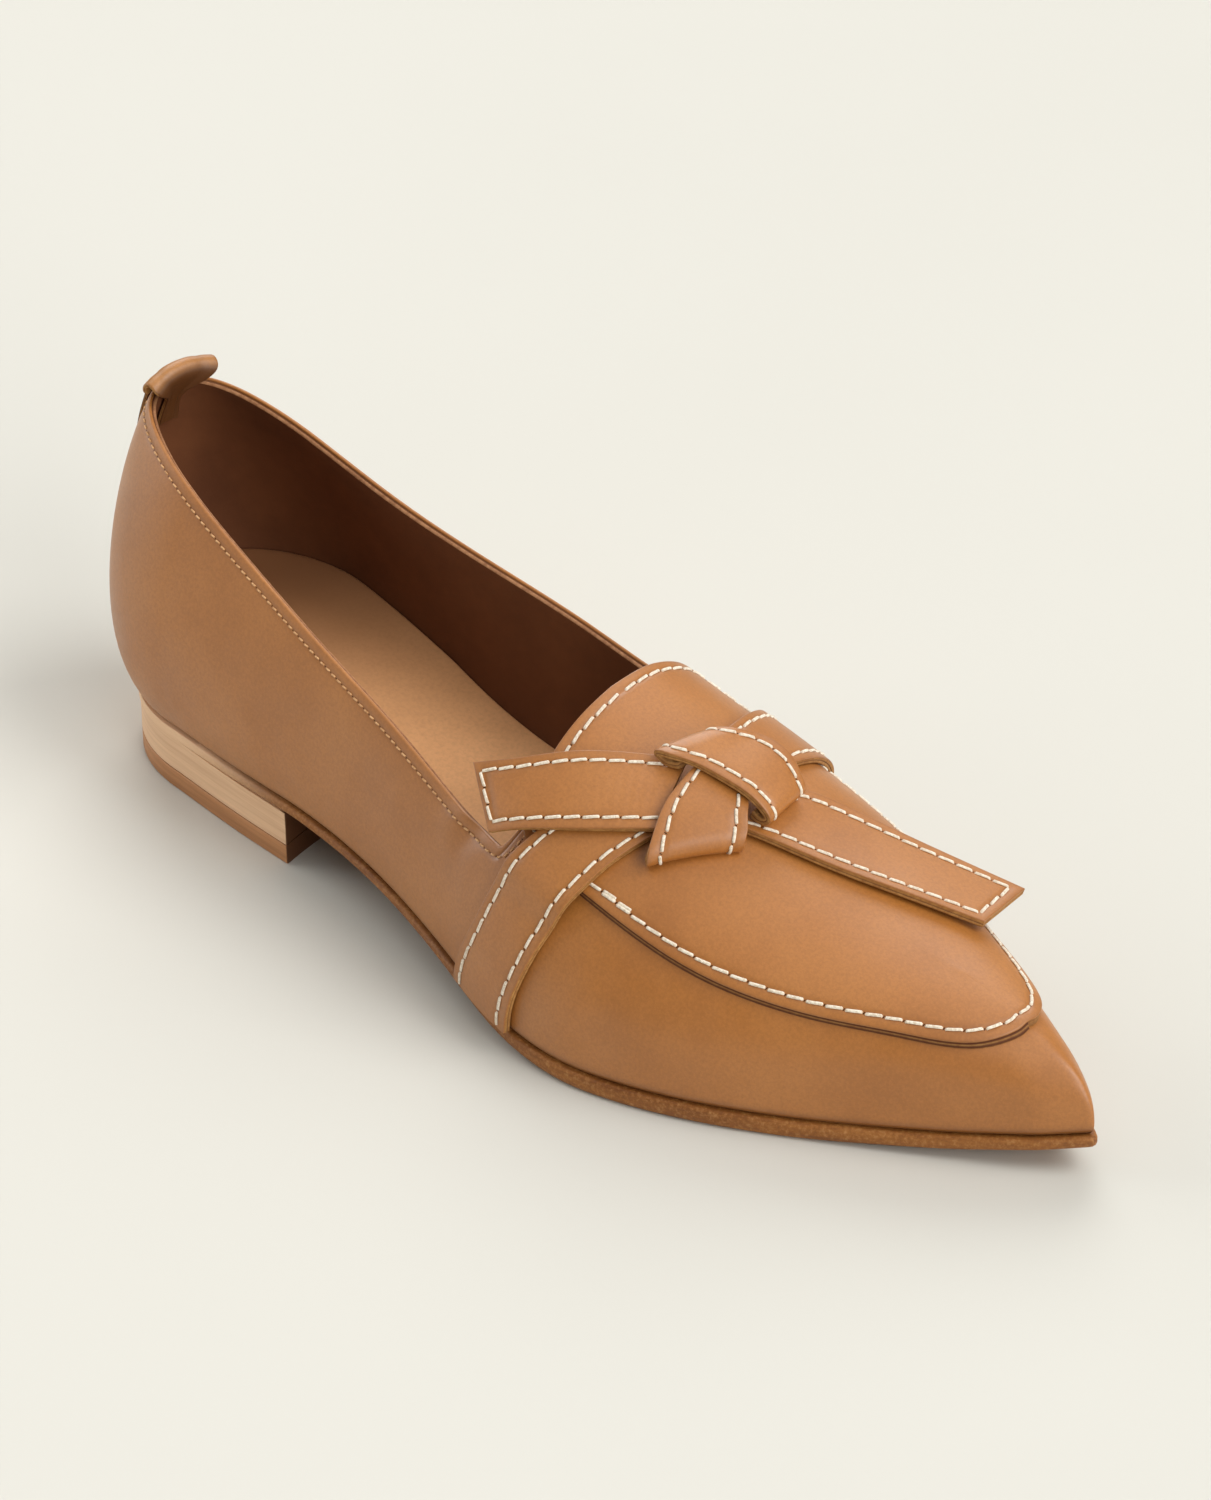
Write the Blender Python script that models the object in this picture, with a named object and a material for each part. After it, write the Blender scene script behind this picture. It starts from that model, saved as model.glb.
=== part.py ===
"""A right-foot pointed flat loafer with a knotted strap bow, at its real size.

Run with: blender --background --python part.py

Frame: metres, +X to the toe, +Y to the inner (medial) side of the foot, +Z up. The origin is the
middle of the heel lift's underside, on the ground. The tables are drawn in millimetres at the base
size, and the grading factors scale them to the driving sizes.
"""

import math

import bmesh
import bpy
import numpy as np

# Driving sizes, in millimetres.
LENGTH = 268.0
BALL_WIDTH = 88.0
BACK_HEIGHT = 82.0
HEEL_HEIGHT = 13.3

# The base size that the tables are drawn at, and the grading factors.
BASE_LENGTH = 268.0
BASE_WIDTH = 88.0
BASE_HEIGHT = 82.0
ALONG = LENGTH / BASE_LENGTH
ACROSS = BALL_WIDTH / BASE_WIDTH
UP = BACK_HEIGHT / BASE_HEIGHT

MM = 0.001
GAP = 0.3
WALL = 2.0
ORIGIN_ALONG = 40.0

# Outline of the sole.
HEEL_ROUND = 32.0
HEEL_HALF = 27.3
HEEL_SQUARENESS = 2.2
TOE_ROUND = 10.0
TOE_ACROSS = 22.5
OUTLINE_COLUMNS = ("along", "lateral", "medial")
OUTLINE = (
    (32.0, -27.3, 27.3),
    (55.0, -28.2, 26.8),
    (80.0, -28.2, 26.4),
    (105.0, -29.6, 28.8),
    (130.0, -33.6, 38.6),
    (150.0, -37.6, 47.6),
    (166.0, -38.0, 50.4),
    (184.0, -33.6, 50.0),
    (205.0, -23.4, 46.4),
    (225.0, -10.2, 39.6),
    (245.0, 3.6, 32.6),
    (258.0, 12.8, 28.4),
    (268.0, 19.6, 25.6),
)

# Underside of the outsole above the ground, and its thickness.
BOTTOM_COLUMNS = ("along", "bottom", "thickness")
BOTTOM = (
    (0.0, HEEL_HEIGHT + GAP, 2.6),
    (70.0, HEEL_HEIGHT + GAP, 2.6),
    (84.0, 12.8, 2.7),
    (100.0, 11.0, 2.7),
    (120.0, 7.7, 2.8),
    (140.0, 4.2, 3.2),
    (158.0, 1.5, 3.7),
    (176.0, 0.0, 4.2),
    (214.0, 0.0, 4.2),
    (240.0, 1.8, 3.8),
    (268.0, 6.0, 3.3),
)

# Sections of the last: where each starts on the feather line, where it meets the ridge, how far it
# leans out at the foot, how strongly it is pulled at foot and crown, and the way it meets the ridge
# (-90 toward the heel, 0 sideways, 90 toward the toe).
LAST_COLUMNS = (
    "foot", "ridge_along", "ridge_across", "ridge_height", "lateral_lean", "medial_lean",
    "foot_pull", "lateral_crown", "medial_crown", "turn",
)
LAST = (
    (0.0, 12.0, 0.0, 93.0, 50.0, 50.0, 23.0, 15.0, 15.0, -90.0),
    (8.0, 14.0, 0.0, 93.0, 45.0, 45.0, 23.0, 14.0, 14.0, -55.0),
    (18.0, 19.0, 0.3, 92.6, 40.0, 40.0, 23.0, 12.5, 12.5, -30.0),
    (32.0, 29.0, 0.8, 91.0, 35.0, 35.0, 23.0, 12.5, 13.0, -12.0),
    (55.0, 52.0, 2.0, 87.0, 27.0, 27.0, 22.0, 13.5, 15.5, 0.0),
    (80.0, 78.0, 3.5, 81.0, 18.0, 26.0, 20.0, 18.0, 25.0, 0.0),
    (105.0, 104.0, 5.0, 73.6, 14.0, 31.0, 18.0, 22.0, 35.0, 0.0),
    (128.0, 127.0, 6.5, 66.0, 10.0, 25.0, 18.0, 25.0, 36.0, 0.0),
    (150.0, 148.0, 8.0, 58.4, 8.0, 14.0, 18.5, 29.0, 35.0, 0.0),
    (170.0, 167.0, 9.8, 51.4, 6.0, 8.0, 20.0, 31.0, 35.0, 2.0),
    (190.0, 185.5, 11.8, 45.2, 6.0, 6.0, 20.5, 30.0, 33.0, 5.0),
    (210.0, 203.0, 13.8, 39.8, 5.0, 5.0, 20.5, 26.0, 28.5, 10.0),
    (228.0, 217.0, 15.6, 36.0, 4.0, 4.0, 20.0, 22.5, 24.0, 23.0),
    (243.0, 226.0, 17.2, 33.8, 4.0, 4.0, 19.0, 20.5, 21.0, 44.0),
    (256.0, 230.5, 18.1, 32.8, 4.0, 4.0, 17.0, 21.5, 21.5, 68.0),
    (264.0, 231.8, 18.4, 32.5, 4.0, 4.0, 15.5, 23.5, 23.5, 82.0),
    (268.0, 232.0, 18.5, 32.4, 4.0, 4.0, 15.0, 24.5, 24.5, 90.0),
)

# Height of the collar above the ground, by where its section starts on the feather line.
COLLAR_COLUMNS = ("foot", "lateral", "medial")
COLLAR = (
    (0.0, 82.0, 82.0),
    (8.0, 80.6, 80.8),
    (18.0, 77.4, 78.2),
    (32.0, 72.4, 73.8),
    (55.0, 64.0, 66.6),
    (80.0, 55.8, 59.2),
    (105.0, 48.2, 51.8),
    (128.0, 41.4, 45.0),
    (141.0, 39.4, 43.0),
)
COLLAR_FRONT = 141.0
THROAT = 155.0

UPPER_INSET = 0.8
RIDGE_STEP = 40.0
UPPER_ROWS = 9
SEAM_REACH = 1e-6
HALVINGS = 30
FOOT_TRIES = 6
EDGE_STEP = 0.4
WALK_STEP = 1.0
SHARE_STEP = 0.01
COLLAR_SPANS = 27
THROAT_SPANS = 6
FOREPART_SPANS = 21

SOLE_SPANS = 50
SOLE_CHAMFER = 0.6
SOLE_END = 0.1

INSOLE_INSET = 3.8
INSOLE_SPANS = 32
INSOLE_CLEAR = 2.65
INSOLE_BACK = 0.3
INSOLE_FRONT = 256.0
INSOLE_COLUMNS = ("along", "thickness")
INSOLE = (
    (0.0, 15.1),
    (25.0, 15.1),
    (43.0, 13.8),
    (54.0, 12.3),
    (65.0, 10.3),
    (73.0, 8.2),
    (84.0, 6.3),
    (98.0, 5.0),
    (112.0, 4.3),
    (128.0, 3.7),
    (148.0, 3.0),
    (170.0, 2.5),
    (268.0, 2.4),
)

# The heel's insets from the sole's edge and its breast, by height above the ground.
BREAST_ALONG = 70.2
BREAST_HOLLOW = 4.0
BREAST_POINTS = 7
HEEL_POINTS = 14
TOPLIFT_HEIGHT = 4.9
HEEL_COLUMNS = ("height", "inset")
TOPLIFT = ((0.0, 0.7), (0.4, 0.3), (TOPLIFT_HEIGHT, 0.3))
HEEL_BLOCK = ((TOPLIFT_HEIGHT + GAP, 0.3), (9.0, 0.4), (HEEL_HEIGHT, 0.4))

# Plug and tongue: the share of each half section at which the leather starts.
APRON_LOW = 0.4
APRON_TOP = 1.8
APRON_ROWS = 5
APRON_SPANS = 34
APRON_COLUMNS = ("foot", "share")
TONGUE = {
    "lateral": (
        (139.5, 1.0),
        (140.2, 0.955),
        (141.0, 0.885),
        (141.7, 0.82),
        (142.4, 0.76),
        (143.5, 0.68),
        (145.0, 0.61),
        (146.8, 0.565),
    ),
    "medial": (
        (139.5, 1.0),
        (138.6, 0.94),
        (137.6, 0.88),
        (136.8, 0.81),
        (136.0, 0.745),
        (135.6, 0.70),
        (136.2, 0.66),
        (138.4, 0.635),
        (142.5, 0.615),
    ),
}
APRON = {
    "lateral": (
        (149.5, 0.545),
        (155.0, 0.545),
        (162.0, 0.55),
        (176.0, 0.54),
        (200.0, 0.50),
        (220.0, 0.50),
        (236.0, 0.53),
        (250.0, 0.56),
        (260.0, 0.65),
        (268.0, 0.72),
    ),
    "medial": (
        (148.0, 0.595),
        (153.0, 0.57),
        (162.0, 0.54),
        (176.0, 0.52),
        (200.0, 0.51),
        (220.0, 0.52),
        (236.0, 0.54),
        (250.0, 0.58),
        (260.0, 0.66),
        (268.0, 0.72),
    ),
}

# The apron's ribs run from its edge to the ridge between this foot and the toe, closer at the back.
SPINE_START = 146.0
SPINE_EASE = 1.25
SECTION_LENGTH = 60.0

# Straps on the last: the feet of the sections that their two edges cross at each share.
STRAP_THICKNESS = 1.8
STRAP_ROWS = 13
STRAP_CLIMB = 0.09
STRAP_CLEAR = 0.06
STRAP_COLUMNS = ("share", "rear", "front")
STRAP_LATERAL = (
    (0.01, 136.5, 156.0),
    (0.14, 139.0, 157.5),
    (0.27, 142.5, 160.0),
    (0.39, 145.0, 162.5),
    (0.54, 149.0, 166.0),
    (0.65, 153.0, 168.5),
    (0.74, 157.0, 171.0),
    (0.83, 160.5, 173.5),
)
STRAP_MEDIAL = (
    (0.01, 138.0, 154.0),
    (0.14, 139.5, 156.5),
    (0.29, 142.5, 160.0),
    (0.43, 146.0, 164.0),
    (0.56, 150.0, 167.5),
    (0.74, 156.0, 172.0),
    (0.88, 160.5, 174.5),
)

# The bow's bands by their two edges: the place in plan below each station, and how far the leather's
# middle lies off the last there. The front tail leaves the last, so its heights are above the ground.
LIFTED_COLUMNS = ("along", "across", "lift", "other_along", "other_across", "other_lift")
KNOT_WRAP = (
    (163.0, 2.6, 7.5, 164.6, 14.2, 7.5),
    (160.2, 0.9, 7.5, 162.4, 13.8, 7.5),
    (158.6, 0.5, 8.7, 161.2, 13.4, 8.7),
    (160.6, 1.2, 9.9, 162.6, 14.8, 9.9),
    (165.3, 3.8, 10.0, 166.0, 18.6, 10.0),
    (171.0, 5.8, 10.0, 170.0, 20.8, 10.0),
    (176.6, 7.4, 9.9, 174.4, 21.4, 9.6),
    (181.0, 8.2, 9.0, 178.2, 21.0, 8.2),
    (183.4, 8.4, 7.2, 180.4, 20.4, 6.7),
    (182.2, 8.0, 5.9, 179.4, 20.0, 5.7),
    (179.6, 7.8, 5.8, 177.6, 19.6, 5.6),
)
KNOT_TURN = (
    (165.2, 5.0, 7.6, 173.2, 10.8, 7.5),
    (166.2, 1.0, 7.6, 177.8, 8.2, 7.5),
    (168.0, -4.6, 7.5, 181.0, 5.4, 7.4),
    (171.2, -10.2, 7.2, 182.6, 4.2, 6.9),
    (172.7, -12.9, 6.1, 183.4, 3.1, 5.8),
    (172.9, -13.2, 4.9, 183.4, 2.6, 3.6),
)
BOW_TAIL_BACK = (
    (141.0, -24.8, 5.2, 129.2, -19.0, 5.2),
    (148.7, -21.7, 5.2, 137.6, -15.0, 5.2),
    (156.4, -18.0, 5.2, 145.4, -9.0, 5.2),
    (164.1, -13.0, 5.2, 153.4, -2.2, 5.2),
    (170.0, -8.2, 5.2, 162.2, 6.0, 5.2),
)
PLACED_COLUMNS = ("along", "across", "height", "other_along", "other_across", "other_height")
BOW_TAIL_FRONT = (
    (180.8, 4.4, 50.1, 177.6, 18.4, 50.5),
    (183.5, 5.8, 49.5, 179.6, 22.4, 50.2),
    (188.8, 8.7, 47.9, 184.6, 27.6, 47.7),
    (199.2, 14.4, 44.6, 193.5, 33.0, 43.8),
    (210.5, 21.3, 41.2, 205.0, 39.6, 39.2),
    (225.8, 31.5, 35.9, 220.6, 48.6, 33.3),
)
BAND_COLUMNS = 4
KNOT_ROWS = 24
TAIL_ROWS = 11

# Pull tab: a strip that climbs the back of the counter, rolls into an open loop and goes down inside.
TAB_THICKNESS = 1.1
TAB_ALONG = 4.6
TAB_HEIGHT = 86.0
TAB_RADIUS = 1.8
TAB_BEND = 1.3
TAB_DROOP = 1.5
TAB_SPANS = 4
TAB_ROWS = 26
TAB_LOOP_COLUMNS = ("turn", "half_width")
TAB_LOOP = (
    (195.0, 9.2),
    (155.0, 9.2),
    (115.0, 9.2),
    (75.0, 9.2),
    (35.0, 9.0),
    (-5.0, 8.2),
    (-40.0, 7.2),
)
TAB_COLUMNS = ("height", "half_walk", "lift")
TAB_OUTSIDE = (
    (58.0, 5.0, 1.1),
    (66.0, 6.5, 1.1),
    (74.0, 8.0, 1.1),
    (79.4, 8.8, 1.2),
    (82.6, 9.1, 1.5),
)
TAB_INSIDE = (
    (79.5, 6.0, -3.1),
    (75.5, 5.6, -3.0),
    (72.5, 5.4, -3.0),
)


def column(names, rows, name):
    """One named column of a table as an array."""
    return np.array([row[names.index(name)] for row in rows])


def spline(xs, ys, x):
    """The natural cubic spline through the points, at x."""
    n = len(xs)
    h = np.diff(xs)
    slopes = np.diff(ys) / h
    system = np.eye(n)
    right = np.zeros(n)
    for k in range(1, n - 1):
        system[k, k - 1 : k + 2] = h[k - 1], 2 * (h[k - 1] + h[k]), h[k]
        right[k] = 6 * (slopes[k] - slopes[k - 1])
    curvature = np.linalg.solve(system, right)
    k = int(np.clip(np.searchsorted(xs, x) - 1, 0, n - 2))
    a = (xs[k + 1] - x) / h[k]
    b = 1 - a
    bend = (a**3 - a) * curvature[k] + (b**3 - b) * curvature[k + 1]
    return a * ys[k] + b * ys[k + 1] + bend * h[k] ** 2 / 6


def steady(xs, ys, x):
    """A cubic through the points that never overshoots them, so that flat stretches stay flat."""
    h = np.diff(xs)
    slopes = np.diff(ys) / h
    tangents = np.zeros(len(xs))
    for k in range(1, len(xs) - 1):
        if slopes[k - 1] * slopes[k] > 0:
            tangents[k] = 2 * slopes[k - 1] * slopes[k] / (slopes[k - 1] + slopes[k])
    tangents[0], tangents[-1] = slopes[0], slopes[-1]
    k = int(np.clip(np.searchsorted(xs, x) - 1, 0, len(xs) - 2))
    t = np.clip((x - xs[k]) / h[k], 0.0, 1.0)
    rise = (1 + 2 * t) * (1 - t) ** 2 * ys[k] + t * t * (3 - 2 * t) * ys[k + 1]
    return rise + h[k] * (t * (1 - t) ** 2 * tangents[k] + t * t * (t - 1) * tangents[k + 1])


def smooth(value):
    """An even ease from 0 to 1."""
    t = min(1.0, max(0.0, value))
    return t * t * (3 - 2 * t)


def bottom(along):
    xs = column(BOTTOM_COLUMNS, BOTTOM, "along")
    return steady(xs, column(BOTTOM_COLUMNS, BOTTOM, "bottom"), along)


def bed(along):
    """Height of the outsole's top."""
    xs = column(BOTTOM_COLUMNS, BOTTOM, "along")
    return bottom(along) + steady(xs, column(BOTTOM_COLUMNS, BOTTOM, "thickness"), along)


def outline(side, along):
    """The sole's edge on one side at a distance from the heel's back."""
    if along < HEEL_ROUND:
        narrowing = (1 - along / HEEL_ROUND) ** HEEL_SQUARENESS
        sign = -1 if side == "lateral" else 1
        return sign * HEEL_HALF * math.sqrt(max(0.0, 1 - narrowing))
    xs = column(OUTLINE_COLUMNS, OUTLINE, "along")
    across = spline(xs, column(OUTLINE_COLUMNS, OUTLINE, side), along)
    into_toe = max(0.0, along - (BASE_LENGTH - TOE_ROUND)) / TOE_ROUND
    return TOE_ACROSS + (across - TOE_ACROSS) * math.sqrt(max(0.0, 1 - into_toe**2))


def unroll(along):
    """Distance walked round the sole's edge from the heel's back, which eases both round ends."""
    toe_start = BASE_LENGTH - TOE_ROUND
    walked = HEEL_ROUND * math.acos(max(-1.0, 1 - min(along, HEEL_ROUND) / HEEL_ROUND))
    walked += max(0.0, min(along, toe_start) - HEEL_ROUND)
    return walked + TOE_ROUND * math.asin(min(1.0, max(0.0, along - toe_start) / TOE_ROUND))


def roll(walked):
    """The distance along the shoe that unroll turns into this walk."""
    arc = HEEL_ROUND * math.pi / 2
    straight = BASE_LENGTH - TOE_ROUND - HEEL_ROUND
    if walked < arc:
        return HEEL_ROUND * (1 - math.cos(walked / HEEL_ROUND))
    if walked < arc + straight:
        return HEEL_ROUND + walked - arc
    turn = min(math.pi / 2, (walked - arc - straight) / TOE_ROUND)
    return BASE_LENGTH - TOE_ROUND + TOE_ROUND * math.sin(turn)


def edge_point(side, walked, inset=0.0):
    """A point of the sole's edge in plan, moved in by inset, and the outward direction there."""
    total = unroll(BASE_LENGTH)

    def at(w):
        other = {"lateral": "medial", "medial": "lateral"}[side]
        if w < 0:
            return np.array([roll(-w), outline(other, roll(-w))])
        if w > total:
            return np.array([roll(2 * total - w), outline(other, roll(2 * total - w))])
        return np.array([roll(w), outline(side, roll(w))])

    tangent = at(walked + EDGE_STEP) - at(walked - EDGE_STEP)
    sign = 1 if side == "lateral" else -1
    outward = sign * np.array([tangent[1], -tangent[0]]) / np.linalg.norm(tangent)
    return at(walked) - inset * outward, outward


def last_value(name, walked):
    xs = np.array([unroll(foot) for foot in column(LAST_COLUMNS, LAST, "foot")])
    return spline(xs, column(LAST_COLUMNS, LAST, name), walked)


def ridge_point(walked):
    return np.array([last_value(name, walked) for name in ("ridge_along", "ridge_across", "ridge_height")])


def section(side, walked):
    """The four control points of the last's half section that starts at this place on the feather."""
    foot, outward = edge_point(side, walked, UPPER_INSET)
    start = np.array([foot[0], foot[1], bed(foot[0]) + GAP])
    end = ridge_point(walked)
    lean = math.radians(last_value(side + "_lean", walked))
    pull = last_value("foot_pull", walked)
    rise = np.array([outward[0] * math.sin(lean), outward[1] * math.sin(lean), math.cos(lean)])
    total = unroll(BASE_LENGTH)
    ahead = min(walked + RIDGE_STEP, total)
    forward = ridge_point(ahead) - ridge_point(max(ahead - 2 * RIDGE_STEP, 0.0))
    forward = forward / np.linalg.norm(forward)
    turn = math.radians(last_value("turn", walked))
    sideways = np.array([0.0, -1.0 if side == "lateral" else 1.0, 0.0])
    crown = math.cos(turn) * sideways + math.sin(turn) * forward
    return start, start + pull * rise, end + last_value(side + "_crown", walked) * crown, end


def bezier(points, t):
    a, b, c, d = points
    return (1 - t) ** 3 * a + 3 * t * (1 - t) ** 2 * b + 3 * t * t * (1 - t) * c + t**3 * d


def reach(points, test):
    """The share of a section at which test turns true, by halving."""
    low, high = 0.0, 1.0
    for _ in range(HALVINGS):
        middle = (low + high) / 2
        if test(bezier(points, middle)):
            high = middle
        else:
            low = middle
    return high


def collar_share(side, walked):
    """How much of the half section the upper covers: up to the collar, or to the ridge."""
    front = unroll(COLLAR_FRONT)
    xs = np.array([unroll(foot) for foot in column(COLLAR_COLUMNS, COLLAR, "foot")])
    at = min(walked, front)
    height = spline(xs, column(COLLAR_COLUMNS, COLLAR, side), at)
    share = reach(section(side, at), lambda point: point[2] > height)
    return share + (1 - share) * smooth((walked - front) / (unroll(THROAT) - front))


def place(point):
    """A point of the base-size drawing as a graded point in metres."""
    return (
        (point[0] - ORIGIN_ALONG) * ALONG * MM,
        point[1] * ACROSS * MM,
        point[2] * UP * MM,
    )


def material(name, color, roughness):
    made = bpy.data.materials.new(name)
    made.use_nodes = True
    shader = made.node_tree.nodes["Principled BSDF"]
    shader.inputs["Base Color"].default_value = (*color, 1.0)
    shader.inputs["Roughness"].default_value = roughness
    return made


def add_object(name, points, faces, finish):
    """A named object from points in base-size millimetres."""
    mesh = bpy.data.meshes.new(name)
    mesh.from_pydata([place(point) for point in points], [], faces)
    mesh.validate()
    shape = bmesh.new()
    shape.from_mesh(mesh)
    bmesh.ops.recalc_face_normals(shape, faces=shape.faces)
    shape.to_mesh(mesh)
    shape.free()
    mesh.shade_smooth()
    mesh.materials.append(finish)
    made = bpy.data.objects.new(name, mesh)
    bpy.context.scene.collection.objects.link(made)
    return made


def loft(name, rings, finish):
    """A closed solid through rings of equally many points, capped at both ends."""
    count = len(rings[0])
    points = [point for ring in rings for point in ring]
    faces = []
    for k in range(len(rings) - 1):
        for i in range(count):
            j = (i + 1) % count
            faces.append((k * count + i, k * count + j, (k + 1) * count + j, (k + 1) * count + i))
    faces.append(tuple(range(count)))
    faces.append(tuple((len(rings) - 1) * count + i for i in range(count)))
    return add_object(name, points, faces, finish)


def spread(start, end, spans):
    """Evenly spaced values from start to end."""
    return [start + (end - start) * k / spans for k in range(spans + 1)]


def plate(name, walks, inset, chamfer, low, high, finish):
    """A plate with the sole's outline moved in by inset, between two heights given along the shoe."""
    rings = []
    for walked in walks:
        ring = []
        for side in ("lateral", "medial"):
            under = [(chamfer, low, 0.0), (0.0, low, chamfer)]
            profile = under + [(0.0, high, -chamfer), (chamfer, high, 0.0)]
            for more, height, shift in profile if side == "lateral" else profile[::-1]:
                point = edge_point(side, walked, inset + more)[0]
                ring.append((point[0], point[1], height(point[0]) + shift))
        rings.append(ring)
    return loft(name, rings, finish)


def make_outsole(finish):
    walks = spread(unroll(SOLE_END), unroll(BASE_LENGTH - SOLE_END), SOLE_SPANS)
    return plate("outsole", walks, 0.0, SOLE_CHAMFER, bottom, bed, finish)


def insole_top(along):
    xs = column(INSOLE_COLUMNS, INSOLE, "along")
    thickness = steady(xs, column(INSOLE_COLUMNS, INSOLE, "thickness"), along)
    return bed(along) + GAP + thickness


def insole_rim(side, walked, inset, drop):
    """The place inside the upper's wall that is this far below the insole's top."""
    low, high = 0.0, 1.0
    for _ in range(HALVINGS):
        share = (low + high) / 2
        point = bezier(section(side, walked), share) - inset * last_normal(side, walked, share)
        if point[2] > insole_top(point[0]) - drop:
            high = share
        else:
            low = share
    return np.array([point[0], point[1], insole_top(point[0]) - drop])


def make_insole(finish):
    """A contoured insole, raised under the heel, whose sides follow the upper's inner wall."""
    rings = []
    for walked in spread(unroll(INSOLE_BACK), unroll(INSOLE_FRONT), INSOLE_SPANS):
        ring = []
        for side in ("lateral", "medial"):
            foot = edge_point(side, walked, INSOLE_INSET)[0]
            rise = [np.array([foot[0], foot[1], bed(foot[0]) + GAP])]
            rise.append(insole_rim(side, walked, INSOLE_CLEAR, SOLE_CHAMFER))
            rise.append(insole_rim(side, walked, INSOLE_CLEAR + SOLE_CHAMFER, 0.0))
            ring += rise if side == "lateral" else rise[::-1]
        rings.append(ring)
    return loft("insole", rings, finish)


def heel_plan(inset, height):
    """The heel's outline at one height: round the back, then along its hollow breast."""
    walks = spread(0.0, unroll(BREAST_ALONG), HEEL_POINTS)
    lateral = [edge_point("lateral", walked, inset)[0] for walked in walks]
    medial = [edge_point("medial", walked, inset)[0] for walked in walks]
    ring = lateral[::-1] + medial[1:]
    for across in spread(ring[-1][1], ring[0][1], BREAST_POINTS)[1:-1]:
        hollow = BREAST_HOLLOW * (1 - (across / HEEL_HALF) ** 2)
        ring.append((BREAST_ALONG - hollow, across))
    return [(point[0], point[1], height) for point in ring]


def make_heel(name, rows, finish):
    heights = column(HEEL_COLUMNS, rows, "height")
    insets = column(HEEL_COLUMNS, rows, "inset")
    return loft(name, [heel_plan(inset, height) for inset, height in zip(insets, heights)], finish)


def grid_faces(index, spans, rows):
    """Triangles between the indexed points of both sides, none of them wholly on the centre line."""
    faces = []
    for side in ("lateral", "medial"):
        for j in range(spans):
            for i in range(rows):
                near, ahead = index[side, i, j], index[side, i, j + 1]
                above, across = index[side, i + 1, j], index[side, i + 1, j + 1]
                pair = (near, ahead, across), (near, across, above)
                if j == 0:
                    pair = (near, ahead, above), (ahead, across, above)
                for face in pair:
                    faces.append(face if side == "lateral" else face[::-1])
    return faces


def last_grid(walks, rows, low, high):
    """Points and quads on the last, row by row from the share low(side, walk) to high(side, walk).

    Both sides share their points on the ridge and on the toe's and heel's centre lines.
    """
    toe = unroll(BASE_LENGTH)
    index = {}
    points = []
    for side in ("lateral", "medial"):
        for j, walked in enumerate(walks):
            curve = section(side, walked)
            start, end = low(side, walked), high(side, walked)
            centred = min(walked, toe - walked) < SEAM_REACH
            for i in range(rows + 1):
                seam = centred or (i == rows and end > 1 - SEAM_REACH)
                key = ("seam" if seam else side, i, j)
                if key not in index:
                    index[key] = len(points)
                    points.append(bezier(curve, start + (end - start) * i / rows))
                index[side, i, j] = index[key]
    return points, grid_faces(index, len(walks) - 1, rows), index


def vertex_normals(points, faces):
    """Area-weighted normals of the points."""
    normals = np.zeros((len(points), 3))
    for face in faces:
        a, b, c, d = (points[face[k]] for k in (0, 1, -2, -1))
        normal = np.cross(c - a, d - b)
        for k in face:
            normals[k] += normal
    return normals / np.linalg.norm(normals, axis=1)[:, None]


def thicken(name, outer, inner, faces, finish):
    """A closed solid between an outer and an inner layer with the same faces."""
    count = len(outer)
    edges = set()
    for face in faces:
        edges.update(zip(face, face[1:] + face[:1]))
    walls = [(b, a, a + count, b + count) for a, b in edges if (b, a) not in edges]
    inner_faces = [tuple(k + count for k in reversed(face)) for face in faces]
    return add_object(name, list(outer) + list(inner), faces + inner_faces + sorted(walls), finish)


def make_upper(finish):
    """The hollow upper: its outer wall from the last, its inner wall one wall's thickness inside."""
    front, throat, toe = unroll(COLLAR_FRONT), unroll(THROAT), unroll(BASE_LENGTH)
    walks = spread(0.0, front, COLLAR_SPANS)[:-1]
    walks += spread(front, throat, THROAT_SPANS)[:-1]
    walks += spread(throat, toe, FOREPART_SPANS)
    points, faces, index = last_grid(walks, UPPER_ROWS, lambda side, walked: 0.0, collar_share)
    inner = [point - WALL * normal for point, normal in zip(points, vertex_normals(points, faces))]
    for side in ("lateral", "medial"):
        for j, walked in enumerate(walks):
            foot = edge_point(side, walked, UPPER_INSET + WALL)[0]
            inner[index[side, 0, j]] = np.array([foot[0], foot[1], bed(foot[0]) + GAP])
    return thicken("upper", points, inner, faces, finish)


def apron_share(side, walked):
    """Where the apron's side edge crosses a section."""
    xs = np.array([unroll(foot) for foot in column(APRON_COLUMNS, APRON[side], "foot")])
    return steady(xs, column(APRON_COLUMNS, APRON[side], "share"), walked)


def apron_grid():
    """Points and faces of the apron: ribs from its edge on both sides to a shared spine on the ridge."""
    start, toe = unroll(SPINE_START), unroll(BASE_LENGTH)
    index = {}
    points = []
    for side in ("lateral", "medial"):
        rows = TONGUE[side] + APRON[side]
        walks = [unroll(foot) for foot in column(APRON_COLUMNS, rows, "foot")]
        lengths = SECTION_LENGTH * column(APRON_COLUMNS, rows, "share")
        edge = edge_curve(np.array([walks, lengths]).T, APRON_SPANS + 1)
        for j, (walked, length) in enumerate(edge):
            spine = start + (toe - start) * (j / APRON_SPANS) ** SPINE_EASE
            for i in range(APRON_ROWS + 1):
                seam = j in (0, APRON_SPANS) or i == APRON_ROWS
                key = ("seam" if seam else side, i, j)
                if key not in index:
                    index[key] = len(points)
                    along = walked + (spine - walked) * i / APRON_ROWS
                    share = length / SECTION_LENGTH
                    share += (1 - share) * i / APRON_ROWS
                    points.append(bezier(section(side, min(along, toe)), min(share, 1.0)))
                index[side, i, j] = index[key]
    return points, grid_faces(index, APRON_SPANS, APRON_ROWS)


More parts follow.
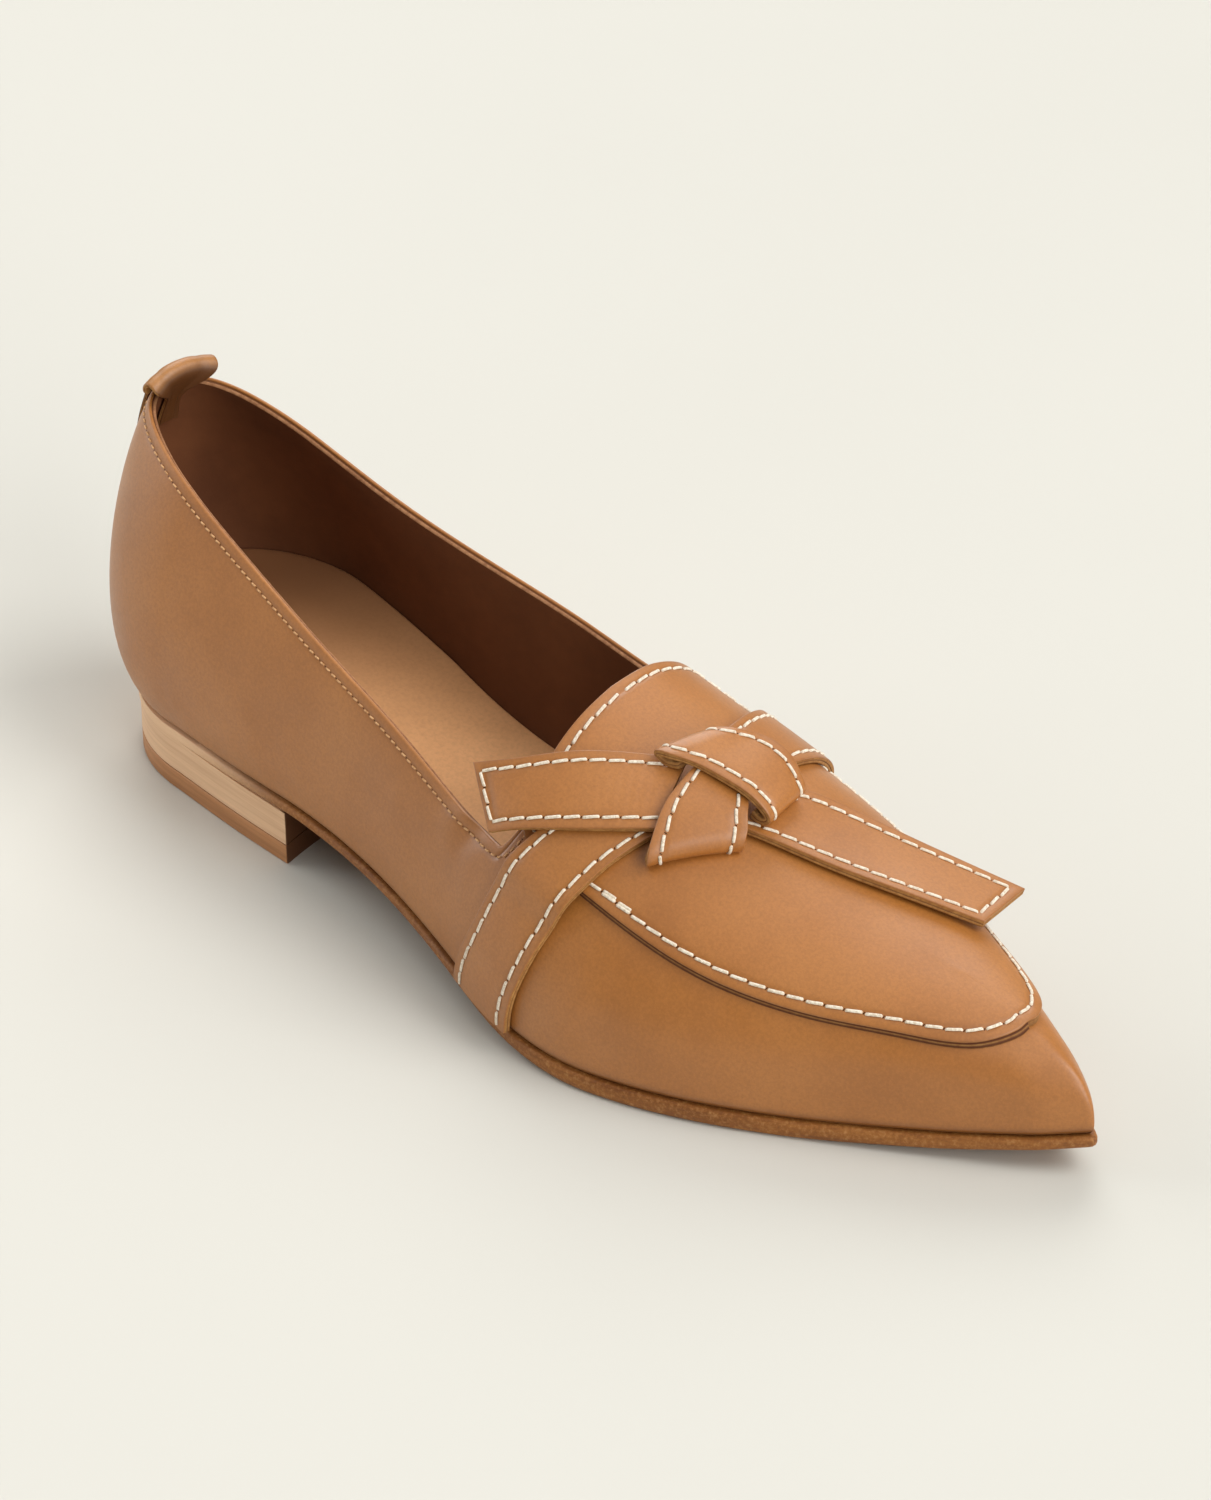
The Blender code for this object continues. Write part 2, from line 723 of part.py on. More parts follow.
def make_apron(finish):
    """The plug and its tongue, one piece that lies over the upper's throat."""
    points, faces = apron_grid()
    normals = vertex_normals(points, faces)
    outer = [point + APRON_TOP * normal for point, normal in zip(points, normals)]
    inner = [point + APRON_LOW * normal for point, normal in zip(points, normals)]
    return thicken("apron", outer, inner, faces, finish)


def strap_lift(side, walked, share):
    """How far a strap's middle lies off the last: it climbs to clear the apron's edge."""
    past = (share - apron_share(side, walked) + STRAP_CLIMB + STRAP_CLEAR) / STRAP_CLIMB
    return GAP + APRON_TOP * smooth(past) + STRAP_THICKNESS / 2


def sheet_faces(rows, spans):
    """The quads of a grid of points, row by row."""
    faces = []
    for i in range(rows - 1):
        for j in range(spans):
            k = i * (spans + 1) + j
            faces.append((k, k + 1, k + spans + 2, k + spans + 1))
    return faces


def band(name, points, rows, thickness, finish):
    """A leather band of one thickness about a grid of points on its middle."""
    faces = sheet_faces(rows, len(points) // rows - 1)
    normals = vertex_normals(points, faces)
    outer = [point + thickness / 2 * normal for point, normal in zip(points, normals)]
    inner = [point - thickness / 2 * normal for point, normal in zip(points, normals)]
    return thicken(name, outer, inner, faces, finish)


def last_normal(side, walked, share):
    """The outward direction of the last at a place on it."""
    ahead, behind = section(side, walked + WALK_STEP), section(side, walked - WALK_STEP)
    along = bezier(ahead, share) - bezier(behind, share)
    curve = section(side, walked)
    up = bezier(curve, min(share + SHARE_STEP, 1.0)) - bezier(curve, share - SHARE_STEP)
    normal = np.cross(along, up) if side == "lateral" else np.cross(up, along)
    return normal / np.linalg.norm(normal)


def make_strap(name, side, rows, finish):
    """A strap that follows the last from the feather up to the bow, over the apron's edge."""
    shares = column(STRAP_COLUMNS, rows, "share")
    points = []
    for share in spread(shares[0], shares[-1], STRAP_ROWS - 1):
        rear = spline(shares, column(STRAP_COLUMNS, rows, "rear"), share)
        front = spline(shares, column(STRAP_COLUMNS, rows, "front"), share)
        for foot in spread(rear, front, BAND_COLUMNS):
            walked = unroll(foot)
            lift = strap_lift(side, walked, share) * last_normal(side, walked, share)
            points.append(bezier(section(side, walked), share) + lift)
    return band(name, points, STRAP_ROWS, STRAP_THICKNESS, finish)


def above_last(along, across, lift):
    """The point over the last at a place in plan, lifted off it."""
    foot = along
    for _ in range(FOOT_TRIES):
        walked = unroll(foot)
        ridge = ridge_point(walked)[1]
        side = "lateral" if across < ridge else "medial"
        sign = 1 if side == "lateral" else -1
        curve = section(side, walked)
        share = reach(curve, lambda point: sign * (point[1] - across) > 0)
        foot += along - bezier(curve, share)[0]
    return bezier(curve, share) + lift * last_normal(side, walked, min(share, 1 - SHARE_STEP))


def edge_curve(stations, count):
    """Evenly spread points on a smooth curve through the stations."""
    walked = np.concatenate([[0.0], np.cumsum(np.linalg.norm(np.diff(stations, axis=0), axis=1))])
    places = spread(0.0, walked[-1], count - 1)
    axes = range(stations.shape[1])
    return [np.array([spline(walked, stations[:, axis], at) for axis in axes]) for at in places]


def make_band(name, names, table, rows, finish, to_point):
    """A band between two edges given by stations; to_point turns their numbers into a point."""
    stations = np.array([column(names, table, each) for each in names]).T
    first = edge_curve(stations[:, :3], rows)
    second = edge_curve(stations[:, 3:], rows)
    points = []
    for one, other in zip(first, second):
        shares = spread(0.0, 1.0, BAND_COLUMNS)
        points += [to_point(*(one + (other - one) * share)) for share in shares]
    return band(name, points, rows, STRAP_THICKNESS, finish)


def placed(along, across, height):
    return np.array([along, across, height])


def tab_leg(part, rows):
    """Points down one of the tab's legs on the counter; part runs from -1 on the outer side to 1."""
    side = "lateral" if part < 0 else "medial"
    points = []
    for row in rows:
        leg = dict(zip(TAB_COLUMNS, row))
        walked = abs(part) * leg["half_walk"]
        share = reach(section(side, walked), lambda point: point[2] > leg["height"])
        lift = leg["lift"] * last_normal(side, walked, share)
        points.append(bezier(section(side, walked), share) + lift)
    return points


def make_heel_tab(finish):
    edges = []
    for part in spread(-1.0, 1.0, TAB_SPANS):
        stations = tab_leg(part, TAB_OUTSIDE)
        turns = column(TAB_LOOP_COLUMNS, TAB_LOOP, "turn")
        for turn, half_width in zip(turns, column(TAB_LOOP_COLUMNS, TAB_LOOP, "half_width")):
            along = TAB_ALONG + TAB_BEND * part**2 + TAB_RADIUS * math.cos(math.radians(turn))
            height = TAB_HEIGHT - TAB_DROOP * part**2 + TAB_RADIUS * math.sin(math.radians(turn))
            stations.append(np.array([along, part * half_width, height]))
        stations += tab_leg(part, TAB_INSIDE)
        edges.append(edge_curve(np.array(stations), TAB_ROWS))
    points = [edges[j][i] for i in range(TAB_ROWS) for j in range(TAB_SPANS + 1)]
    return band("heel_tab", points, TAB_ROWS, TAB_THICKNESS, finish)


def main():
    for old in list(bpy.data.objects):
        bpy.data.objects.remove(old)
    tan = material("tan_leather", (0.44, 0.19, 0.075), 0.45)
    pale = material("insole_leather", (0.46, 0.24, 0.12), 0.6)
    edge = material("sole_leather", (0.38, 0.16, 0.06), 0.6)
    wood = material("stacked_heel", (0.45, 0.25, 0.1), 0.5)
    make_outsole(edge)
    make_heel("heel_toplift", TOPLIFT, edge)
    make_heel("heel_block", HEEL_BLOCK, wood)
    make_insole(pale)
    make_upper(tan)
    make_apron(tan)
    make_strap("strap_lateral", "lateral", STRAP_LATERAL, tan)
    make_strap("strap_medial", "medial", STRAP_MEDIAL, tan)
    make_band("knot_wrap", LIFTED_COLUMNS, KNOT_WRAP, KNOT_ROWS, tan, above_last)
    make_band("knot_turn", LIFTED_COLUMNS, KNOT_TURN, KNOT_ROWS, tan, above_last)
    make_band("bow_tail_back", LIFTED_COLUMNS, BOW_TAIL_BACK, TAIL_ROWS, tan, above_last)
    make_band("bow_tail_front", PLACED_COLUMNS, BOW_TAIL_FRONT, TAIL_ROWS, tan, placed)
    make_heel_tab(tan)


main()
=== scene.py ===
"""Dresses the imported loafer: fine leather forms, edges, stitches and materials on the frame's solids.

The tables are the part's own, in millimetres, with the toe along +X and the origin at the heel's back.
"""

import math
from functools import cache

import bpy
import numpy as np
from mathutils import Matrix, Vector
from mathutils.bvhtree import BVHTree

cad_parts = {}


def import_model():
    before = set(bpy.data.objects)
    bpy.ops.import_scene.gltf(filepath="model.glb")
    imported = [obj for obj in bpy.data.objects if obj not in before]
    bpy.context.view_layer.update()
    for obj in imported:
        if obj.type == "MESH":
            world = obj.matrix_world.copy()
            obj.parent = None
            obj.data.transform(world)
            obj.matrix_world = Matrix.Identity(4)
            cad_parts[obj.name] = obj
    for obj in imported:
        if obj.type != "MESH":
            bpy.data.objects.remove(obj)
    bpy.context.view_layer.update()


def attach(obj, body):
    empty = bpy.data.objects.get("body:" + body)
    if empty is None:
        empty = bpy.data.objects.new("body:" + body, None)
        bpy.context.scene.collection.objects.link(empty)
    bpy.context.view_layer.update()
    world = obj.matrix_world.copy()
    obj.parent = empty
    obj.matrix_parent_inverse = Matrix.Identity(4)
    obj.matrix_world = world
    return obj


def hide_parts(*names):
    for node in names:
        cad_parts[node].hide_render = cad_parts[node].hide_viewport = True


MM = 0.001
ORIGIN_ALONG = 40.0
LENGTH = 268.0
GAP = 0.3
WALL = 2.0
SIDES = ("lateral", "medial")
OTHER = {"lateral": "medial", "medial": "lateral"}
SIGN = {"lateral": -1, "medial": 1}
TINY = 1e-12

# The order of a quad's corners between two rings, each as (ring, step round it).
RING_FIRST = ((0, 0), (1, 0), (1, 1), (0, 1))
STEP_FIRST = ((0, 1), (0, 0), (1, 0), (1, 1))
CORNER_FIRST = ((0, 0), (0, 1), (1, 1), (1, 0))

# Sockets of a color mix.
MIX_FACTOR = 0
MIX_FIRST = 6
MIX_SECOND = 7
MIX_RESULT = 2

# The photograph's viewing place and direction, in millimetres from the part's origin.
CAMERA_PLACE = (930.5, -728.7, 794.1)
CAMERA_DOWN = (0.3634, -0.3435, -0.8660)
CAMERA_AIM = (88.9, 14.1, 39.7)
CAMERA_LENS = 152.0

# Outline of the sole. Where a table's first row holds names, it is read by curves().
HEEL_ROUND = 32.0
HEEL_HALF = 27.3
HEEL_SQUARENESS = 2.2
TOE_ROUND = 10.0
TOE_ACROSS = 22.5
OUTLINE = (
    ("along", "lateral", "medial"),
    (32.0, -27.3, 27.3),
    (55.0, -28.2, 26.8),
    (80.0, -28.2, 26.4),
    (105.0, -29.6, 28.8),
    (130.0, -33.6, 38.6),
    (150.0, -37.6, 47.6),
    (166.0, -38.0, 50.4),
    (184.0, -33.6, 50.0),
    (205.0, -23.4, 46.4),
    (225.0, -10.2, 39.6),
    (245.0, 3.6, 32.6),
    (258.0, 12.8, 28.4),
    (268.0, 19.6, 25.6),
)

# Underside of the outsole above the ground, and its thickness.
HEEL_HEIGHT = 13.3
BOTTOM = (
    ("along", "bottom", "thickness"),
    (0.0, HEEL_HEIGHT + GAP, 2.6),
    (70.0, HEEL_HEIGHT + GAP, 2.6),
    (84.0, 12.8, 2.7),
    (100.0, 11.0, 2.7),
    (120.0, 7.7, 2.8),
    (140.0, 4.2, 3.2),
    (158.0, 1.5, 3.7),
    (176.0, 0.0, 4.2),
    (214.0, 0.0, 4.2),
    (240.0, 1.8, 3.8),
    (268.0, 6.0, 3.3),
)

# Sections of the last, from the feather line to the ridge.
LAST = (
    ("foot", "ridge_along", "ridge_across", "ridge_height", "lateral_lean", "medial_lean",
     "foot_pull", "lateral_crown", "medial_crown", "turn"),
    (0.0, 12.0, 0.0, 93.0, 50.0, 50.0, 23.0, 15.0, 15.0, -90.0),
    (8.0, 14.0, 0.0, 93.0, 45.0, 45.0, 23.0, 14.0, 14.0, -55.0),
    (18.0, 19.0, 0.3, 92.6, 40.0, 40.0, 23.0, 12.5, 12.5, -30.0),
    (32.0, 29.0, 0.8, 91.0, 35.0, 35.0, 23.0, 12.5, 13.0, -12.0),
    (55.0, 52.0, 2.0, 87.0, 27.0, 27.0, 22.0, 13.5, 15.5, 0.0),
    (80.0, 78.0, 3.5, 81.0, 18.0, 26.0, 20.0, 18.0, 25.0, 0.0),
    (105.0, 104.0, 5.0, 73.6, 14.0, 31.0, 18.0, 22.0, 35.0, 0.0),
    (128.0, 127.0, 6.5, 66.0, 10.0, 25.0, 18.0, 25.0, 36.0, 0.0),
    (150.0, 148.0, 8.0, 58.4, 8.0, 14.0, 18.5, 29.0, 35.0, 0.0),
    (170.0, 167.0, 9.8, 51.4, 6.0, 8.0, 20.0, 31.0, 35.0, 2.0),
    (190.0, 185.5, 11.8, 45.2, 6.0, 6.0, 20.5, 30.0, 33.0, 5.0),
    (210.0, 203.0, 13.8, 39.8, 5.0, 5.0, 20.5, 26.0, 28.5, 10.0),
    (228.0, 217.0, 15.6, 36.0, 4.0, 4.0, 20.0, 22.5, 24.0, 23.0),
    (243.0, 226.0, 17.2, 33.8, 4.0, 4.0, 19.0, 20.5, 21.0, 44.0),
    (256.0, 230.5, 18.1, 32.8, 4.0, 4.0, 17.0, 21.5, 21.5, 68.0),
    (264.0, 231.8, 18.4, 32.5, 4.0, 4.0, 15.5, 23.5, 23.5, 82.0),
    (268.0, 232.0, 18.5, 32.4, 4.0, 4.0, 15.0, 24.5, 24.5, 90.0),
)
COLLAR = (
    ("foot", "lateral", "medial"),
    (0.0, 82.0, 82.0),
    (8.0, 80.6, 80.8),
    (18.0, 77.4, 78.2),
    (32.0, 72.4, 73.8),
    (55.0, 64.0, 66.6),
    (80.0, 55.8, 59.2),
    (105.0, 48.2, 51.8),
    (128.0, 41.4, 45.0),
    (141.0, 39.4, 43.0),
)
COLLAR_FRONT = 141.0
THROAT = 155.0
UPPER_INSET = 0.8
RIDGE_STEP = 40.0
SHARE_STEP = 0.01
WALK_STEP = 1.0
EDGE_STEP = 0.4
HALVINGS = 24
FOOT_TRIES = 6
CLIMB_STEPS = 48

APRON_LOW = 0.4
APRON_TOP = 1.8
# The edge of the tongue and of the plug: place on the feather line and share of the section.
TONGUE = {
    "lateral": (
        (139.5, 1.0), (140.2, 0.955), (141.0, 0.885), (141.7, 0.82), (142.4, 0.76), (143.5, 0.68),
        (145.0, 0.61), (146.8, 0.565),
    ),
    "medial": (
        (139.5, 1.0), (138.6, 0.94), (137.6, 0.88), (136.8, 0.81), (136.0, 0.745), (135.6, 0.70),
        (136.2, 0.66), (138.4, 0.635), (142.5, 0.615),
    ),
}
APRON = {
    "lateral": (
        (149.5, 0.545), (155.0, 0.545), (162.0, 0.55), (176.0, 0.54), (200.0, 0.50), (220.0, 0.50),
        (236.0, 0.53), (250.0, 0.56), (260.0, 0.65), (268.0, 0.72),
    ),
    "medial": (
        (148.0, 0.595), (153.0, 0.57), (162.0, 0.54), (176.0, 0.52), (200.0, 0.51), (220.0, 0.52),
        (236.0, 0.54), (250.0, 0.58), (260.0, 0.66), (268.0, 0.72),
    ),
}

# The apron's ribs run from its edge to the ridge between this foot and the toe, closer at the back.
SPINE_START = 146.0
SPINE_EASE = 1.25
SECTION_LENGTH = 60.0

STRAP_THICKNESS = 1.8
STRAP_ROWS = 13
STRAP_CLIMB = 0.09
STRAP_CLEAR = 0.06
BAND_COLUMNS = 4
KNOT_ROWS = 24
TAIL_ROWS = 11
# The straps: share of the section, and the place on the feather line below the rear and front edges there.
STRAP_LATERAL = (
    (0.01, 136.5, 156.0),
    (0.14, 139.0, 157.5),
    (0.27, 142.5, 160.0),
    (0.39, 145.0, 162.5),
    (0.54, 149.0, 166.0),
    (0.65, 153.0, 168.5),
    (0.74, 157.0, 171.0),
    (0.83, 160.5, 173.5),
)
STRAP_MEDIAL = (
    (0.01, 138.0, 154.0),
    (0.14, 139.5, 156.5),
    (0.29, 142.5, 160.0),
    (0.43, 146.0, 164.0),
    (0.56, 150.0, 167.5),
    (0.74, 156.0, 172.0),
    (0.88, 160.5, 174.5),
)

# The bow's bands: place in plan and lift off the last of one edge, then of the other.
KNOT_WRAP = (
    (163.0, 2.6, 7.5, 164.6, 14.2, 7.5),
    (160.2, 0.9, 7.5, 162.4, 13.8, 7.5),
    (158.6, 0.5, 8.7, 161.2, 13.4, 8.7),
    (160.6, 1.2, 9.9, 162.6, 14.8, 9.9),
    (165.3, 3.8, 10.0, 166.0, 18.6, 10.0),
    (171.0, 5.8, 10.0, 170.0, 20.8, 10.0),
    (176.6, 7.4, 9.9, 174.4, 21.4, 9.6),
    (181.0, 8.2, 9.0, 178.2, 21.0, 8.2),
    (183.4, 8.4, 7.2, 180.4, 20.4, 6.7),
    (182.2, 8.0, 5.9, 179.4, 20.0, 5.7),
    (179.6, 7.8, 5.8, 177.6, 19.6, 5.6),
)
KNOT_TURN = (
    (165.2, 5.0, 7.6, 173.2, 10.8, 7.5),
    (166.2, 1.0, 7.6, 177.8, 8.2, 7.5),
    (168.0, -4.6, 7.5, 181.0, 5.4, 7.4),
    (171.2, -10.2, 6.7, 182.6, 4.2, 6.4),
    (172.7, -12.9, 5.2, 183.4, 3.1, 4.9),
    (172.9, -13.4, 3.9, 183.4, 2.6, 2.9),
)
# The last of the turn, rolled under itself onto the strap.
KNOT_TURN_ROLL = ((171.8, -12.8, 3.0, 182.2, 2.6, 2.0),)
BOW_TAIL_BACK = (
    (141.0, -24.8, 5.2, 129.2, -19.0, 5.2),
    (148.7, -21.7, 5.2, 137.6, -15.0, 5.2),
    (156.4, -18.0, 5.2, 145.4, -9.0, 5.2),
    (164.1, -13.0, 5.2, 153.4, -2.2, 5.2),
    (170.0, -8.2, 5.2, 162.2, 6.0, 5.2),
)
# This one stands free, so its edges have their height above the ground.
BOW_TAIL_FRONT = (
    (180.8, 4.4, 50.1, 177.6, 18.4, 50.5),
    (183.5, 5.8, 49.5, 179.6, 22.4, 50.2),
    (188.8, 8.7, 47.9, 184.6, 27.6, 47.7),
    (199.2, 14.4, 44.6, 193.5, 33.0, 43.8),
    (210.5, 21.3, 41.2, 205.0, 39.6, 39.2),
    (225.8, 31.5, 35.9, 220.6, 48.6, 33.3),
)

TAB_THICKNESS = 1.1
TAB_ALONG = 4.6
TAB_HEIGHT = 86.0
TAB_RADIUS = 1.8
TAB_BEND = 1.3
TAB_DROOP = 1.5
TAB_SPANS = 4
TAB_LIT = (22.0, 36.0)
TAB_ROWS = 26
# The tab's loop by its turn and half width; its legs by height, half width of walk and lift off the last.
TAB_LOOP = (
    (195.0, 9.2), (155.0, 9.2), (115.0, 9.2), (75.0, 9.2), (35.0, 9.0), (-5.0, 8.2), (-40.0, 7.2),
)
TAB_OUTSIDE = (
    (58.0, 5.0, 1.1),
    (66.0, 6.5, 1.1),
    (74.0, 8.0, 1.1),
    (79.4, 8.8, 1.2),
    (82.6, 9.1, 1.5),
)
TAB_INSIDE = (
    (79.5, 6.0, -3.1),
    (75.5, 5.6, -3.0),
    (72.5, 5.4, -3.0),
)

INSOLE_INSET = 3.8
INSOLE_CLEAR = 2.25
INSOLE_BACK = 0.3
INSOLE_FRONT = 256.0
# The insole's thickness along the shoe, and the drop of its top at distances in from its rim.
INSOLE = (
    (0.0, 15.1), (25.0, 15.1), (43.0, 13.8), (54.0, 12.3), (65.0, 10.3), (73.0, 8.2), (84.0, 6.3),
    (98.0, 5.0), (112.0, 4.3), (128.0, 3.7), (148.0, 3.0), (170.0, 2.5), (268.0, 2.4),
)
INSOLE_PROFILE = (
    (0.0, 0.25), (0.25, 0.04), (0.8, 0.0), (2.0, 0.12), (4.0, 0.35), (7.0, 0.6), (11.0, 0.8), (16.0, 0.9),
)
INSOLE_RIM_DROP = 0.9
INSOLE_MOST_INWARD = 0.46
INSOLE_FULL_WIDTH = 30.0
# Painted shade: the insole darkens towards the heel cup, eased between these places along it.
INSOLE_PAINTED_SHADE_END = (10.0, 80.0)

BREAST_ALONG = 70.2
BREAST_CORNER = 0.2
BREAST_HOLLOW = 4.0
TOPLIFT_HEIGHT = 4.9
# The heel's parts: height and inset of each ring.
TOPLIFT_ROWS = ((0.0, 0.9), (0.15, 0.5), (0.5, 0.3), (TOPLIFT_HEIGHT - 0.15, 0.3), (TOPLIFT_HEIGHT, 0.45))
BLOCK_FOOT = TOPLIFT_HEIGHT + GAP
BLOCK_TOP = HEEL_HEIGHT + GAP - 0.02
BLOCK_ROWS = ((BLOCK_FOOT, 0.45), (BLOCK_FOOT + 0.12, 0.3), (9.0, 0.38), (HEEL_HEIGHT, 0.3), (BLOCK_TOP, 0.3))

# The outsole's edge from below: inset, share of the thickness and shift in height.
OUTSOLE_PROFILE = (
    (2.2, 0.0, 0.0),
    (1.3, 0.0, 0.06),
    (0.55, 0.0, 0.36),
    (0.14, 0.0, 0.9),
    (0.0, 0.45, 0.0),
    (0.0, 0.7, 0.0),
    (0.12, 1.0, -0.45),
    (0.4, 1.0, -0.14),
    (0.9, 1.0, 0.0),
)
# How much of that inset there is: little at the heel, more past it and most at the toe.
HEEL_ROUNDING = 0.12
TOE_ROUNDING = 0.7
FOREPART_EASE = (25.0, 45.0)
TOE_EASE = (235.0, 30.0)
PALE_HEEL_EASE = (30.0, 45.0)
OUTSOLE_ENDS = 0.1

# Fineness of the dressed forms.
UPPER_WALKS = 230
OPENING_WALKS = 150
UPPER_MIDDLE_ROWS = 26
# The upper's other rows: distances above the feather line, and below the top edge.
UPPER_LOW_CLIMBS = (0.0, 0.25, 0.55, 0.9, 1.3, 1.8, 2.5, 3.4)
UPPER_HIGH_CLIMBS = (6.4, 5.0, 4.0, 3.3, 2.85, 2.5, 2.2, 1.9, 1.5, 1.0, 0.5, 0.2, 0.0)
APRON_WALKS = 190
APRON_ROWS_FINE = 38
APRON_ROW_POWER = 1.6
BAND_STEP = 0.55
EDGE_SOFT = 0.24
BAND_EDGE_STEPS = (0.0, 0.04, 0.1, 0.18, 0.3, 0.6)
SOLE_WALKS = 260
INSOLE_WALKS = 110
HEEL_SIDE_POINTS = 48
BREAST_POINTS = 24

# Feather line: how high and how far the upper's foot is drawn in under itself.
FEATHER_ROLL = 1.7
FEATHER_DEPTH = 0.7

# The wall of a cut piece: share of its height, inset, and its shade where it stands free and where lapped.
WALL_RINGS = (
    (0.1, 0.0, 1.0, 0.0),
    (0.3, 0.0, 1.0, 0.12),
    (0.46, 0.0, 0.8, 0.85),
    (0.54, 0.14, 0.25, 0.85),
    (0.7, 0.0, 1.0, 0.1),
    (0.9, 0.0, 1.0, 0.05),
)

# The collar's rim: share of the wall from the outer leather to the lining, and height. Its first rows are
# outer leather, and between the layers it is dark.
RIM_OUTER_ROWS = 5
RIM_MIDDLE = (0.5, 0.07)
RIM_MIDDLE_SHADE = 0.35
# Painted shade on the collar's rim where it closes towards the throat, below the bow.
RIM_CLOSED_PAINTED_SHADE = 0.15
RIM = (
    (0.07, 0.28), (0.2, 0.48), (0.34, 0.42), (0.44, 0.12), (0.5, -0.25), (0.56, 0.0), (0.66, 0.2),
    (0.8, 0.26), (0.93, 0.1),
)

# Stitching: pitch, the length of thread that shows, its radius, and the line's inset from the edge.
STITCH_PITCH = 4.15
STITCH_SHOWN = 4.1
STITCH_RADIUS = 0.36
STITCH_INSET = 2.3
TAIL_END_INSET = 1.4
STITCH_SLANT = 0.16
STITCH_HEIGHT = 0.2
STITCH_DIVE = 0.5
STITCH_RINGS = 9
STITCH_SIDES = 8
STITCH_GAP = 0.1
STITCH_RISE = 2.2
STITCH_PLUNGE = 3.5
STITCH_TIP = 0.62
STITCH_SWELL = 2.5
STITCH_FLATNESS = 0.8
LOOK_AHEAD = 0.1
# Where a band's stitches start: on the straps and in the knot.
STRAP_SEWN_FROM = 0.6
KNOT_SEWN_FROM = 0.4
SEAM_STEP = 0.6
# A stitch hole: its sides, half length and half width by the thread's radius, lean, and each ring's
# height and size.
HOLE_SIDES = 10
HOLE_LONG = 1.15
HOLE_SHORT = 0.36
HOLE_LEAN = 0.35
HOLE_RINGS = ((-0.25, 1.0), (0.02, 1.0), (0.04, 0.6))
APRON_STITCH_INSET = 2.5

# Where the two cut layers show along the apron's edge, by side: from this distance on, eased in.
SEAM_SHOWN = (("lateral", THROAT, 10.0), ("medial", 246.0, 6.0))
SEAM_FLARE = 1.0
SEAM_SINK = 0.3
BACKTACK = (171.5, -22.2)
BACKTACK_SHIFT = (0.3, 0.55, 0.2)
BACKTACK_REACH = 5
LOOP_AHEAD = 3
COLLAR_PITCH = 2.0
COLLAR_SHOWN = 1.35
COLLAR_RADIUS = 0.22
COLLAR_INSET = 2.2
GROOVE_WIDTH = 0.55
GROOVE_DEPTH = 0.16

# Darker leather: painted shade along a seam's groove (how much, how wide), darker at a cut edge, painted
# shade above the feather line and on the tab off its loop.
COLLAR_SHADE = (0.22, 0.8)
APRON_SHADE = (0.18, 0.9)
BAND_SHADE = (0.16, 0.9)
EDGE_SHADE = 0.8
EDGE_SHADE_REACH = 1.2
FOOT_PAINTED_SHADE = 0.65
FOOT_PAINTED_SHADE_EASE = (20.0, 60.0)
FOOT_PAINTED_SHADE_HEIGHT = 3.0
TAB_PAINTED_SHADE = 0.12
TAB_LIT_EASE = 2.0

# The back tail's fine ripples: depth, place from the knot and spread, waves and their bend, clear of edges.
TAIL_CRINKLE = 0.035
CRINKLE_PLACE = 9.0
CRINKLE_SPREAD = 11.0
CRINKLE_WAVES = 2.9
CRINKLE_BEND = (1.3, 0.3)
CRINKLE_CLEAR = (2.8, 2.0)

# The studio: each soft light's name, direction, apparent width in degrees and strength.
WORLD_STRENGTH = 0.18
FLOOR_REACH = 12.0
SUNS = (
    ("key", (0.55, 0.35, 0.76), 36.0, 0.5),
    ("back", (-0.58, 0.53, 0.62), 40.0, 0.47),
    ("top", (0.0, 0.0, 1.0), 80.0, 0.2),
    ("right", (0.85, -0.1, 0.35), 40.0, 0.5),
    ("left", (-0.85, -0.4, 0.35), 40.0, 0.32),
)

# Soft creases of the upper: the side, where each starts and ends (place on the feather line, share of
# the section), its depth below the leather and its width; a negative depth is a ridge.
CREASE_SPANS = 8
CREASES = (
    ("lateral", 160.0, 0.10, 172.0, 0.42, 0.30, 3.5),
    ("lateral", 166.0, 0.08, 179.0, 0.34, -0.22, 3.5),
    ("lateral", 172.0, 0.06, 184.0, 0.26, 0.22, 3.5),
    ("lateral", 128.0, 0.34, 137.0, 0.52, 0.45, 2.6),
    ("lateral", 122.0, 0.36, 133.0, 0.52, -0.30, 2.6),
    ("lateral", 112.0, 0.20, 134.0, 0.30, 0.55, 6.0),
    ("lateral", 60.0, 0.22, 108.0, 0.30, 0.60, 9.0),
    ("lateral", 14.0, 0.30, 52.0, 0.34, -0.35, 8.0),
    ("medial", 60.0, 0.24, 112.0, 0.34, 0.60, 9.0),
    ("medial", 126.0, 0.36, 137.0, 0.54, 0.45, 2.8),
    ("medial", 120.0, 0.36, 132.0, 0.54, -0.30, 2.8),
    ("medial", 162.0, 0.10, 174.0, 0.40, 0.28, 3.5),
    ("medial", 169.0, 0.08, 182.0, 0.32, -0.20, 3.5),
)


def natural(xs, ys):
    """The natural cubic spline through the points, as a function; each y may be an array."""
    xs = np.asarray(xs, float)
    shape = np.shape(ys)[1:]
    ys = np.asarray(ys, float).reshape(len(xs), -1)
    steps = np.diff(xs)
    slopes = np.diff(ys, axis=0) / steps[:, None]
    system = np.eye(len(xs))
    right = np.zeros(ys.shape)
    for k in range(1, len(xs) - 1):
        system[k, k - 1 : k + 2] = steps[k - 1], 2 * (steps[k - 1] + steps[k]), steps[k]
        right[k] = 6 * (slopes[k] - slopes[k - 1])
    bends = np.linalg.solve(system, right)

    def value(x):
        x = np.asarray(x, float)
        k = np.clip(np.searchsorted(xs, x) - 1, 0, len(xs) - 2)
        step = steps[k][..., None]
        a = (xs[k + 1] - x)[..., None] / step
        b = 1 - a
        bend = (a**3 - a) * bends[k] + (b**3 - b) * bends[k + 1]
        return (a * ys[k] + b * ys[k + 1] + bend * step**2 / 6).reshape(x.shape + shape)

    return value


